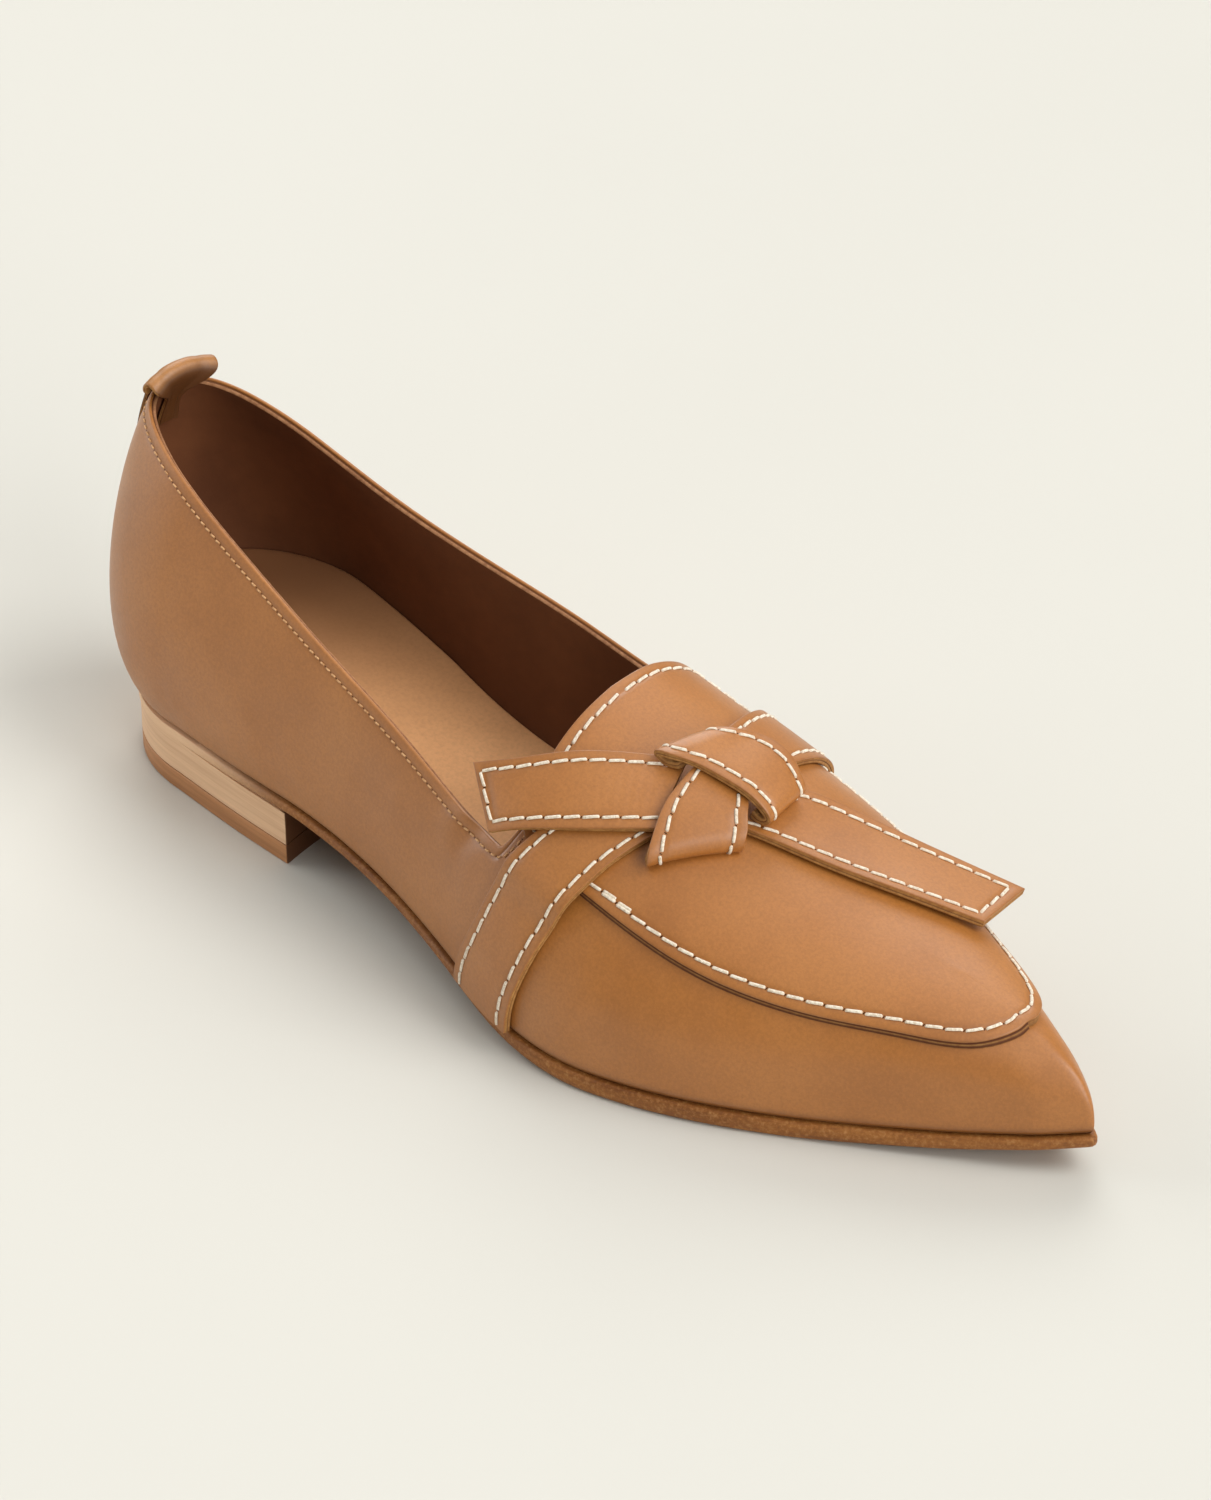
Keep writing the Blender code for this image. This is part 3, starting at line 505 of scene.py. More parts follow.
def steady(xs, ys):
    """A cubic through the points that never overshoots them, as a function."""
    xs, ys = np.asarray(xs, float), np.asarray(ys, float)
    steps = np.diff(xs)
    slopes = np.diff(ys) / steps
    tangents = np.zeros(len(xs))
    for k in range(1, len(xs) - 1):
        if slopes[k - 1] * slopes[k] > 0:
            tangents[k] = 2 * slopes[k - 1] * slopes[k] / (slopes[k - 1] + slopes[k])
    tangents[0], tangents[-1] = slopes[0], slopes[-1]

    def value(x):
        k = int(np.clip(np.searchsorted(xs, x) - 1, 0, len(xs) - 2))
        t = min(1.0, max(0.0, (x - xs[k]) / steps[k]))
        rise = (1 + 2 * t) * (1 - t) ** 2 * ys[k] + t * t * (3 - 2 * t) * ys[k + 1]
        return rise + steps[k] * (t * (1 - t) ** 2 * tangents[k] + t * t * (t - 1) * tangents[k + 1])

    return value


def curves(kind, table, walk=float):
    """Each column of a table as a curve over its first one; the first row holds the names."""
    names, *rows = table
    first, *others = np.array(rows).T
    places = [walk(x) for x in first]
    return {name: kind(places, values) for name, values in zip(names[1:], others)}


def ease(value, start, length):
    """An even rise from 0 to 1 over a length."""
    t = np.clip((value - start) / length, 0.0, 1.0)
    return t * t * (3 - 2 * t)


def unit(vectors):
    return vectors / np.maximum(np.linalg.norm(vectors, axis=-1, keepdims=True), TINY)


def distances(points):
    """The distance walked along a line of points up to each of them."""
    return np.concatenate([[0.0], np.cumsum(np.linalg.norm(np.diff(points, axis=0), axis=1))])


def unroll(along):
    """Distance walked round the sole's edge from the heel's back, which eases both round ends."""
    toe_start = LENGTH - TOE_ROUND
    walked = HEEL_ROUND * math.acos(max(-1.0, 1 - min(along, HEEL_ROUND) / HEEL_ROUND))
    walked += max(0.0, min(along, toe_start) - HEEL_ROUND)
    return walked + TOE_ROUND * math.asin(min(1.0, max(0.0, along - toe_start) / TOE_ROUND))


def roll(walked):
    """The distance along the shoe that unroll turns into this walk."""
    arc = HEEL_ROUND * math.pi / 2
    straight = LENGTH - TOE_ROUND - HEEL_ROUND
    if walked < arc:
        return HEEL_ROUND * (1 - math.cos(walked / HEEL_ROUND))
    if walked < arc + straight:
        return HEEL_ROUND + walked - arc
    return LENGTH - TOE_ROUND + TOE_ROUND * math.sin(min(math.pi / 2, (walked - arc - straight) / TOE_ROUND))


TOTAL = unroll(LENGTH)
FRONT_WALK = unroll(COLLAR_FRONT)
THROAT_WALK = unroll(THROAT)
OUTLINE_CURVES = curves(natural, OUTLINE)
BOTTOM_CURVES = curves(steady, BOTTOM)
LAST_CURVES = curves(natural, LAST, unroll)
COLLAR_CURVES = curves(natural, COLLAR, unroll)
APRON_CURVES = {side: curves(steady, (("foot", side), *APRON[side]), unroll)[side] for side in SIDES}
INSOLE_CURVE = steady(*np.array(INSOLE).T)


def bottom(along):
    return BOTTOM_CURVES["bottom"](along)


def bed(along):
    """Height of the outsole's top."""
    return bottom(along) + BOTTOM_CURVES["thickness"](along)


def on_bed(plan):
    """The point just above the outsole at a place in plan."""
    return np.array([*plan, bed(plan[0]) + GAP])


def outline(side, along):
    """The sole's edge on one side at a distance from the heel's back."""
    if along < HEEL_ROUND:
        narrowing = (1 - along / HEEL_ROUND) ** HEEL_SQUARENESS
        return SIGN[side] * HEEL_HALF * math.sqrt(max(0.0, 1 - narrowing))
    across = float(OUTLINE_CURVES[side](along))
    into_toe = max(0.0, along - (LENGTH - TOE_ROUND)) / TOE_ROUND
    return TOE_ACROSS + (across - TOE_ACROSS) * math.sqrt(max(0.0, 1 - into_toe**2))


def edge_point(side, walked, inset=0.0):
    """A point of the sole's edge in plan, moved in by inset, and the outward direction there."""

    def at(w):
        along = roll(min(abs(w), 2 * TOTAL - w))
        return np.array([along, outline(side if 0 <= w <= TOTAL else OTHER[side], along)])

    tangent = at(walked + EDGE_STEP) - at(walked - EDGE_STEP)
    outward = SIGN[side] * np.array([-tangent[1], tangent[0]]) / np.linalg.norm(tangent)
    return at(walked) - inset * outward, outward


def last_value(name, walked):
    return float(LAST_CURVES[name](walked))


def ridge_point(walked):
    return np.array([last_value(name, walked) for name in ("ridge_along", "ridge_across", "ridge_height")])


@cache
def section(side, walked):
    """The four control points of the last's half section that starts at this place on the feather."""
    foot, outward = edge_point(side, walked, UPPER_INSET)
    start = on_bed(foot)
    end = ridge_point(walked)
    lean = math.radians(last_value(side + "_lean", walked))
    rise = np.array([*(outward * math.sin(lean)), math.cos(lean)])
    ahead = min(walked + RIDGE_STEP, TOTAL)
    forward = unit(ridge_point(ahead) - ridge_point(max(ahead - 2 * RIDGE_STEP, 0.0)))
    turn = math.radians(last_value("turn", walked))
    crown = math.cos(turn) * np.array([0.0, SIGN[side], 0.0]) + math.sin(turn) * forward
    pulled = start + last_value("foot_pull", walked) * rise
    return np.array([start, pulled, end + last_value(side + "_crown", walked) * crown, end])


def bezier(curve, t):
    """A point of the curve, or an array of points for an array of shares."""
    t = np.asarray(t, float)[..., None]
    a, b, c, d = curve
    return (1 - t) ** 3 * a + 3 * t * (1 - t) ** 2 * b + 3 * t * t * (1 - t) * c + t**3 * d


def halve(test):
    """The share from 0 to 1 at which test turns true, by halving."""
    low, high = 0.0, 1.0
    for _ in range(HALVINGS):
        middle = (low + high) / 2
        low, high = (low, middle) if test(middle) else (middle, high)
    return high


def reach(curve, test):
    """The share of a section at whose point test turns true."""
    return halve(lambda share: test(bezier(curve, share)))


def last_normal(side, walked, share):
    """The outward direction of the last at a place on it."""
    ahead, behind = section(side, walked + WALK_STEP), section(side, walked - WALK_STEP)
    along = bezier(ahead, share) - bezier(behind, share)
    curve = section(side, walked)
    up = bezier(curve, min(share + SHARE_STEP, 1.0)) - bezier(curve, share - SHARE_STEP)
    return unit(np.cross(along, up) if side == "lateral" else np.cross(up, along))


def on_last(side, walked, share, lift):
    return bezier(section(side, walked), share) + lift * last_normal(side, walked, share)


def collar_share(side, walked):
    """How much of the half section the upper covers: up to the collar, or to the ridge."""
    at = min(walked, FRONT_WALK)
    height = COLLAR_CURVES[side](at)
    share = reach(section(side, at), lambda point: point[2] > height)
    return share + (1 - share) * ease(walked, FRONT_WALK, THROAT_WALK - FRONT_WALK)


def vertex_normals(points, faces):
    """Area-weighted normals of the points of a mesh of quads."""
    faces = np.asarray(faces)
    normals = np.zeros((len(points), 3))
    across = np.cross(points[faces[:, 2]] - points[faces[:, 0]], points[faces[:, 3]] - points[faces[:, 1]])
    for corner in range(4):
        np.add.at(normals, faces[:, corner], across)
    return unit(normals)


def strip(rings, corners, closed=True):
    """Quads between each ring and the next; corners gives the order of their corners (ring, step)."""
    faces = []
    for pair in zip(rings, rings[1:]):
        count = len(pair[0])
        for k in range(count if closed else count - 1):
            faces.append([pair[ring][(k + step) % count] for ring, step in corners])
    return faces


def tube(rings, corners):
    """Quads round the rings, and a cap at each end."""
    first, last = list(rings[0]), list(rings[-1])
    caps = [first, last[::-1]] if corners == RING_FIRST else [first[::-1], last]
    return strip(rings, corners) + caps


def add_object(name, data):
    made = bpy.data.objects.new(name, data)
    bpy.context.scene.collection.objects.link(made)
    return made


def add_piece(name, points, faces, materials, shade=1.0, face_slots=None, sharp=None):
    """A mesh piece from drawing millimetres that rides on the shoe."""
    metres = (np.asarray(points, float) - (ORIGIN_ALONG, 0.0, 0.0)) * MM
    mesh = bpy.data.meshes.new(name)
    mesh.from_pydata([tuple(point) for point in metres], [], [tuple(map(int, face)) for face in faces])
    for material in materials:
        mesh.materials.append(material)
    if face_slots is not None:
        mesh.polygons.foreach_set("material_index", np.asarray(face_slots, np.int32))
    mesh.shade_smooth()
    if sharp is not None:
        mesh.set_sharp_from_angle(angle=math.radians(sharp))
    values = mesh.attributes.new("shade", "FLOAT", "POINT")
    values.data.foreach_set("value", np.float32(np.ones(len(points)) * shade))
    mesh.update()
    made = add_object(name, mesh)
    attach(made, "root")
    return made


class Sheet:
    """Points on both sides of the last by side, walk and row; both sides share the points of a seam."""

    def __init__(self):
        self.points, self.index = [], {}

    def add(self, side, j, i, seam, point):
        key = ("both" if seam else side, j, i)
        if key not in self.index:
            self.index[key] = len(self.points)
            self.points.append(point)
        self.index[side, j, i] = self.index[key]

    def finish(self, walks, rows):
        """The points, the quads between them and the index of each point."""
        faces = []
        for side in SIDES:
            ribs = [[self.index[side, j, i] for i in range(rows)] for j in range(walks)]
            quads = strip(ribs, RING_FIRST, closed=False)
            faces += quads if side == "lateral" else [face[::-1] for face in quads]
        return np.array(self.points), faces, self.index


def nearest_on(points, line):
    """Each point's distance to a line of points, and its place along the line, counted in spans."""
    nearest = np.full(len(points), np.inf)
    places = np.zeros(len(points))
    for k, (start, end) in enumerate(zip(line, line[1:])):
        span = end - start
        t = np.clip((points - start) @ span / max(span @ span, TINY), 0.0, 1.0)
        away = np.linalg.norm(points - start - t[:, None] * span, axis=1)
        places = np.where(away < nearest, k + t, places)
        nearest = np.minimum(nearest, away)
    return nearest, places


def crease_depths(points):
    """How far the upper's creases push each of its points in."""
    depths = np.zeros(len(points))
    for side, foot, share, foot_end, share_end, depth, width in CREASES:
        line = []
        for t in np.linspace(0.0, 1.0, CREASE_SPANS + 1):
            walked = unroll(foot + (foot_end - foot) * t)
            line.append(bezier(section(side, walked), share + (share_end - share) * t))
        away, places = nearest_on(points, line)
        depths += depth * np.sin(math.pi * places / CREASE_SPANS) * np.exp(-((away / width) ** 2))
    return depths


def groove(away):
    """The shallow channel that a line of stitches pulls into the leather."""
    return GROOVE_DEPTH * np.exp(-((away / GROOVE_WIDTH) ** 2))


def seam_shade(away, dark, width):
    """Painted shade in the groove of a line of stitches: the leather's shade at a distance from it."""
    return 1 - dark * np.exp(-((away / width) ** 2))


def softened(away):
    """How far the surface falls at this distance from a cut edge."""
    inside = np.clip(1 - away / EDGE_SOFT, 0.0, 1.0)
    return EDGE_SOFT * (1 - np.sqrt(np.maximum(0.0, 1 - inside**2)))


def edge_shade(away):
    """The leather's shade at a distance from a cut edge."""
    return EDGE_SHADE + (1 - EDGE_SHADE) * ease(away, 0.0, EDGE_SHADE_REACH)


def upper_sheet(walks, climbs):
    """Points and quads of the upper on the last; climbs turns a section's length into its rows' places."""
    sheet = Sheet()
    for side in SIDES:
        for j, walked in enumerate(walks):
            curve = section(side, walked)
            shares = np.linspace(0.0, collar_share(side, walked), CLIMB_STEPS)
            climbed = distances(bezier(curve, shares))
            rows = bezier(curve, np.interp(climbs(climbed[-1]), climbed, shares))
            centred = j in (0, len(walks) - 1)
            for i, point in enumerate(rows):
                sheet.add(side, j, i, centred or (i == len(rows) - 1 and walked >= THROAT_WALK), point)
    return sheet.finish(len(walks), len(climbs(1.0)))


def make_upper(leather, lining, edge):
    """The upper: outer leather, lining and the collar's rim of two rounded edges."""
    past_throat = np.linspace(THROAT_WALK, TOTAL, UPPER_WALKS - OPENING_WALKS + 1)[1:]
    walks = np.concatenate([np.linspace(0.0, THROAT_WALK, OPENING_WALKS), past_throat])
    opened = 1 - ease(walks, FRONT_WALK, THROAT_WALK - FRONT_WALK)
    low, high = np.array(UPPER_LOW_CLIMBS), np.array(UPPER_HIGH_CLIMBS)

    def climbs(length):
        middle = np.linspace(low[-1], length - high[0], UPPER_MIDDLE_ROWS + 2)[1:-1]
        return np.concatenate([low, middle, length - high])

    points, faces, index = upper_sheet(walks, climbs)
    normals = vertex_normals(points, faces)
    inner = points - WALL * normals
    count, top = len(points), len(climbs(1.0)) - 1
    pulled, shade = np.zeros(count), np.ones(count)
    for side in SIDES:
        for j, walked in enumerate(walks):
            # Painted shade on the upper just above the feather line, where it meets the sole; less at the
            # heel.
            dark = FOOT_PAINTED_SHADE * ease(roll(walked), *FOOT_PAINTED_SHADE_EASE)
            for i, climb in enumerate(low):
                point = index[side, j, i]
                pulled[point] = FEATHER_DEPTH * max(0.0, 1 - climb / FEATHER_ROLL) ** 2
                shade[point] = 1 - dark * (1 - ease(climb, 0.0, FOOT_PAINTED_SHADE_HEIGHT))
            for i, below in enumerate(high):
                point = index[side, j, top + 1 - len(high) + i]
                pulled[point] = opened[j] * groove(below - COLLAR_INSET)
                # Painted shade along the collar's stitch groove, where the collar is open.
                if opened[j] > 0:
                    shade[point] = seam_shade(below - COLLAR_INSET, *COLLAR_SHADE)
            inner[index[side, j, 0]] = on_bed(edge_point(side, walked, UPPER_INSET + WALL)[0])
    outer = points - (pulled + crease_depths(points))[:, None] * normals

    def round_shoe(last, row):
        """The points of a row from the heel along the outer side to a walk, and back on the inner side."""
        ring = [index["lateral", j, row] for j in range(last + 1)]
        return ring + [index["medial", j, row] for j in range(last - 1, 0, -1)]

    all_points = [*outer, *inner]
    shades = [*shade, *np.ones(count)]
    feather = round_shoe(len(walks) - 1, 0)
    foot = strip([feather, [k + count for k in feather]], STEP_FIRST)
    rim, before = round_shoe(OPENING_WALKS - 1, top), round_shoe(OPENING_WALKS - 1, top - 2)
    open_rim = [*opened[:OPENING_WALKS], *opened[OPENING_WALKS - 2 : 0 : -1]]
    columns = []
    for a, under, wide in zip(rim, before, open_rim):
        rise = unit(outer[a] - outer[under])
        columns.append([a, *range(len(all_points), len(all_points) + len(RIM)), a + count])
        for share, height in RIM:
            all_points.append(outer[a] + (inner[a] - outer[a]) * share + wide * height * rise)
            middle = abs(share - RIM_MIDDLE[0]) < RIM_MIDDLE[1]
            # Painted shade on the rim where the opening closes.
            closing_painted_shade = RIM_CLOSED_PAINTED_SHADE + (1 - RIM_CLOSED_PAINTED_SHADE) * wide
            shades.append((RIM_MIDDLE_SHADE if middle else 1.0) * closing_painted_shade)
    collar = strip(columns + columns[:1], RING_FIRST, closed=False)
    all_faces = faces + [[k + count for k in face[::-1]] for face in faces] + foot + collar
    collar_slots = [0] * RIM_OUTER_ROWS + [2] * (len(RIM) + 1 - RIM_OUTER_ROWS)
    slots = [0] * len(faces) + [1] * (len(faces) + len(foot)) + collar_slots * len(columns)
    made = add_piece("upper_fine", all_points, all_faces, [leather, lining, edge], shades, slots)
    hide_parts("upper")
    return outer, faces, normals, rim


def open_edges(faces):
    """The directed edges of a sheet that only one face has, as a loop of points."""
    seen = {edge for face in faces for edge in zip(face, face[1:] + face[:1])}
    edges = {a: b for a, b in seen if (b, a) not in seen}
    loop = [min(edges)]
    while edges[loop[-1]] != loop[0]:
        loop.append(edges[loop[-1]])
    return loop


def closed_sheet(name, high, low, faces, materials, low_slot, shade, lapped):
    """A solid between two layers with the same faces; its wall shows two layers of leather.

    lapped is how far each point's wall is sewn down onto the piece below, from 0 to 1. There its foot
    spreads.
    """
    count = len(high)
    loop = open_edges(faces)
    top, foot, sewn = high[loop], low[loop], lapped[loop]
    inward = unit(np.cross(top - foot, np.roll(top, -1, axis=0) - np.roll(top, 1, axis=0)))
    foot = foot - SEAM_FLARE * sewn[:, None] * inward
    low = low.copy()
    low[loop] = foot
    rings = [loop]
    points, shades = [high, low], [shade, shade]
    for share, inset, free, hidden in WALL_RINGS:
        first = sum(map(len, points))
        rings.append(range(first, first + len(loop)))
        points.append(top + (foot - top) * share + inset * inward)
        shades.append(free + (hidden - free) * sewn)
    rings.append([k + count for k in loop])
    walls = strip(rings, STEP_FIRST)
    all_faces = faces + [[k + count for k in face[::-1]] for face in faces] + walls
    slots = [0] * len(faces) + [low_slot] * len(faces) + [1] * len(walls)
    all_points, all_shades = np.concatenate(points), np.concatenate(shades)
    return add_piece(name, all_points, all_faces, materials, all_shades, slots, sharp=48.0)


def edge_curve(stations, count, last=-1):
    """Evenly spread points on a smooth curve through the stations, from the first to the last one."""
    walked = distances(stations)
    return natural(walked, stations)(np.linspace(0.0, walked[last], count))


def apron_sheet(spans, rows):
    """Points and quads of the apron: ribs from its edge on both sides to a shared spine on the ridge."""
    start = unroll(SPINE_START)
    sheet = Sheet()
    edges = {}
    for side in SIDES:
        feet, shares = np.array(TONGUE[side] + APRON[side]).T
        edges[side] = np.array([[unroll(foot) for foot in feet], SECTION_LENGTH * shares]).T
    for side in SIDES:
        # The other side's next three stations, past the toe.
        beyond = edges[OTHER[side]][-2:-5:-1] * (-1, 1) + (2 * TOTAL, 0)
        edge = edge_curve(np.concatenate([edges[side], beyond]), spans + 1, len(edges[side]) - 1)
        for j, (walked, length) in enumerate(edge):
            spine = start + (TOTAL - start) * (j / spans) ** SPINE_EASE
            share = min(length / SECTION_LENGTH, 1.0)
            for i, part in enumerate(rows):
                curve = section(side, min(walked + (spine - walked) * part, TOTAL))
                seam = j in (0, spans) or i == len(rows) - 1
                sheet.add(side, j, i, seam, bezier(curve, share + (1 - share) * part))
    return sheet.finish(spans + 1, len(rows))


def make_apron(leather, edge):
    """Plug and tongue: a cut sheet with softened edges and a stitch line's groove."""
    spread = np.linspace(0.0, 1.0, APRON_ROWS_FINE) ** APRON_ROW_POWER
    points, faces, index = apron_sheet(APRON_WALKS, spread)
    normals = vertex_normals(points, faces)
    loop = open_edges(faces)
    away = nearest_on(points, points[loop + loop[:1]])[0]
    lapped = np.zeros(len(points))
    for side, start, length in SEAM_SHOWN:
        for j in range(APRON_WALKS + 1):
            point = index[side, j, 0]
            lapped[point] = max(lapped[point], ease(points[point][0], start, length))
    fall = softened(away) + groove(away - APRON_STITCH_INSET)
    high = points + (APRON_TOP - fall)[:, None] * normals
    low = points + (APRON_LOW - SEAM_SINK * lapped)[:, None] * normals
    # Painted shade along the stitch groove, and darker at the cut edge.
    shade = seam_shade(away - APRON_STITCH_INSET, *APRON_SHADE) * edge_shade(away)
    made = closed_sheet("apron_fine", high, low, faces, [leather, edge], 0, shade, lapped)
    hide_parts("apron")
    return high, faces, normals, loop


def edge_places(length):
    """Distances from 0 to a length, close together at both ends."""
    border = BAND_EDGE_STEPS[-1]
    inner = np.arange(border + BAND_STEP, length - border - BAND_STEP / 2, BAND_STEP)
    return np.concatenate([BAND_EDGE_STEPS, inner, length - np.array(BAND_EDGE_STEPS[::-1])])


def resample(grid, shares):
    """A grid of points at other shares of its first axis, through natural splines."""
    return natural(np.arange(len(grid)), grid)(shares * (len(grid) - 1))


def make_band(node, middle, thickness, materials, cut="", crinkle=0.0, lit=None):
    """A leather band about a grid of middle points (rows, columns); cut says which end is a cut one.

    lit is the stretch along the band outside which its leather is darkened with painted shade. Returns the
    band's upper surface as a function of the distances along and across it, its length and its width.
    """
    length = distances(middle[:, middle.shape[1] // 2])[-1]
    width = np.linalg.norm(np.diff(middle, axis=1), axis=2).sum(axis=1).mean()
    along, across = edge_places(length), edge_places(width)
    rows = resample(middle, along / length)
    points = resample(rows.transpose(1, 0, 2), across / width).transpose(1, 0, 2).reshape(-1, 3)
    shape = (len(along), len(across))
    faces = strip(np.arange(len(points)).reshape(shape).tolist(), CORNER_FIRST, closed=False)
    normals = vertex_normals(points, faces)
    u, v = np.meshgrid(along, across, indexing="ij")
    away = np.minimum(v, width - v)
    if cut:
        away = np.minimum(away, u if cut == "first" else length - u)
    ripples = np.sin(u * CRINKLE_WAVES + CRINKLE_BEND[0] * np.sin(v * CRINKLE_BEND[1]))
    wrinkle = crinkle * np.exp(-(((length - u - CRINKLE_PLACE) / CRINKLE_SPREAD) ** 2)) * ripples
    fall = softened(away) + groove(away - STITCH_INSET) + wrinkle * ease(away, *CRINKLE_CLEAR)
    high = points + (thickness / 2 - fall.ravel())[:, None] * normals
    low = points - (thickness / 2 - softened(away).ravel())[:, None] * normals
    # Painted shade along the stitch grooves, and darker at the cut edges.
    shade = seam_shade(away - STITCH_INSET, *BAND_SHADE) * edge_shade(away)
    # Painted shade on the tab's legs, outside its lit loop.
    if lit is not None:
        light = ease(u, lit[0], TAB_LIT_EASE) * ease(lit[1] - u, 0.0, TAB_LIT_EASE)
        shade = shade * (TAB_PAINTED_SHADE + (1 - TAB_PAINTED_SHADE) * light)
    made = closed_sheet(node + "_fine", high, low, faces, materials, 1, shade.ravel(), np.zeros(len(points)))
    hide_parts(node)
    tops, ups = high.reshape(*shape, 3), normals.reshape(*shape, 3)

    def surface(u_at, v_at):
        i = int(np.clip(np.searchsorted(along, u_at) - 1, 0, len(along) - 2))
        j = int(np.clip(np.searchsorted(across, v_at) - 1, 0, len(across) - 2))
        a = (u_at - along[i]) / (along[i + 1] - along[i])
        b = (v_at - across[j]) / (across[j + 1] - across[j])
        blend = np.outer((1 - a, a), (1 - b, b))[..., None]
        point, up = (blend * grid[i : i + 2, j : j + 2] for grid in (tops, ups))
        return point.sum(axis=(0, 1)), unit(up.sum(axis=(0, 1)))

    return surface, length, width


def strap_middle(side, rows):
    """Middle points of a strap that follows the last from the feather up to the bow."""
    shares, rears, fronts = np.array(rows).T
    rear, front = natural(shares, rears), natural(shares, fronts)
    grid = []
    for share in np.linspace(shares[0], shares[-1], STRAP_ROWS):
        row = []
        for foot in np.linspace(rear(share), front(share), BAND_COLUMNS + 1):
            walked = unroll(float(foot))
            climb = ease(share, APRON_CURVES[side](walked) - STRAP_CLIMB - STRAP_CLEAR, STRAP_CLIMB)
            row.append(on_last(side, walked, share, GAP + APRON_TOP * climb + STRAP_THICKNESS / 2))
        grid.append(row)
    return np.array(grid)


def above_last(along, across, lift):
    """The point over the last at a place in plan, lifted off it."""
    foot = along
    for _ in range(FOOT_TRIES):
        walked = unroll(foot)
        side = "lateral" if across < ridge_point(walked)[1] else "medial"
        curve = section(side, walked)
        share = reach(curve, lambda point: SIGN[side] * (across - point[1]) > 0)
        foot += along - bezier(curve, share)[0]
    return bezier(curve, share) + lift * last_normal(side, walked, min(share, 1 - SHARE_STEP))


def placed(along, across, height):
    """The place itself, for a band that stands free of the last."""
    return np.array([along, across, height])


def bow_middle(table, rows, to_point):
    """Middle points of one of the bow's bands between its two edges."""
    stations = np.array(table)
    first, second = edge_curve(stations[:, :3], rows), edge_curve(stations[:, 3:], rows)
    shares = np.linspace(1.0, 0.0, BAND_COLUMNS + 1)
    return np.array([[to_point(*(a + (b - a) * share)) for share in shares] for a, b in zip(first, second)])


def tab_leg(part, rows):
    """Points down one of the tab's legs on the counter; part runs from -1 on the outer side to 1."""
    side = "lateral" if part < 0 else "medial"
    points = []
    for height, half_walk, lift in rows:
        walked = abs(part) * half_walk
        share = reach(section(side, walked), lambda point: point[2] > height)
        points.append(on_last(side, walked, share, lift))
    return points


def tab_middle():
    """Middle points of the pull tab: up the counter, round the loop and down inside."""
    edges = []
    for part in np.linspace(1.0, -1.0, TAB_SPANS + 1):
        stations = tab_leg(part, TAB_OUTSIDE)
        for degrees, half_width in TAB_LOOP:
            turn = math.radians(degrees)
            along = TAB_ALONG + TAB_BEND * part**2 + TAB_RADIUS * math.cos(turn)
            height = TAB_HEIGHT - TAB_DROOP * part**2 + TAB_RADIUS * math.sin(turn)
            stations.append(placed(along, part * half_width, height))
        edges.append(edge_curve(np.array(stations + tab_leg(part, TAB_INSIDE)), TAB_ROWS))
    return np.array(edges).transpose(1, 0, 2)


def ellipse(centre, first, second, sides):
    """Points round a centre on an ellipse with these two half axes."""
    turns = (2 * math.pi * side / sides for side in range(sides))
    return [centre + math.cos(turn) * first + math.sin(turn) * second for turn in turns]


class Tubes:
    """Closed tubes collected into one mesh."""

    def __init__(self):
        self.points, self.faces = [], []

    def add(self, rings):
        """A tube through rings of equally many points."""
        indexes = []
        for ring in rings:
            indexes.append(range(len(self.points), len(self.points) + len(ring)))
            self.points += ring
        self.faces += tube(indexes, CORNER_FIRST)

    def finish(self, name, material):
        return add_piece(name, self.points, self.faces, [material], sharp=50.0)


class Thread:
    """Collects stitches and their holes, to be made into one mesh of each."""

    def __init__(self, pitch, shown, radius):
        self.pitch, self.shown, self.radius = pitch, shown, radius
        self.stitches, self.holes = Tubes(), Tubes()

    def sew(self, line):
        """Stitches along a line of (point, normal) pairs."""
        points, normals = (np.array(each) for each in zip(*line))
        walked = distances(points)
        count = max(1, round(walked[-1] / self.pitch))
        pitch = walked[-1] / count
        half = min(self.shown, pitch - STITCH_GAP * self.radius) / 2

        def between(values, distance):
            return np.array([np.interp(distance, walked, values[:, axis]) for axis in range(3)])

        def at(distance):
            """The place at a distance along the seam, with the directions up, ahead and sideways."""
            up = unit(between(normals, distance))
            ahead = unit(between(points, distance + LOOK_AHEAD) - between(points, distance - LOOK_AHEAD))
            return between(points, distance), up, ahead, np.cross(up, ahead)

        for k in range(count):
            middle = (k + 0.5) * pitch
            self.stitch(at, middle - half, middle + half)
            if k:
                self.hole(*at(k * pitch))

    def stitch(self, at, start, end):
        """A slanting bead of thread whose ends dive into the leather."""
        scale = self.radius / STITCH_RADIUS
        rings = []
        for t in np.linspace(0.0, 1.0, STITCH_RINGS):
            point, up, _, sideways = at(start + (end - start) * t)
            arch = math.sin(math.pi * t)
            lift = STITCH_HEIGHT * min(1.0, STITCH_RISE * arch)
            lift -= STITCH_DIVE * (1 - min(1.0, STITCH_PLUNGE * arch))
            centre = point + scale * (lift * up + STITCH_SLANT * (2 * t - 1) * sideways)
            radius = self.radius * (STITCH_TIP + (1 - STITCH_TIP) * min(1.0, STITCH_SWELL * arch))
            rings.append(ellipse(centre, radius * sideways, radius * STITCH_FLATNESS * up, STITCH_SIDES))
        self.stitches.add(rings)

    def hole(self, point, up, ahead, sideways):
        """A slit of painted shade in the leather between two stitches, for the hole."""
        long_half = HOLE_LONG * self.radius * (sideways + HOLE_LEAN * ahead)
        short_half = HOLE_SHORT * self.radius * ahead
        rings = []
        for height, size in HOLE_RINGS:
            rings.append(ellipse(point + height * up, size * long_half, size * short_half, HOLE_SIDES))
        self.holes.add(rings)

    def finish(self, name, thread, thread_slot, hole):
        made = self.stitches.finish(name, thread)
        holes = self.holes.finish(name + "_holes", hole)


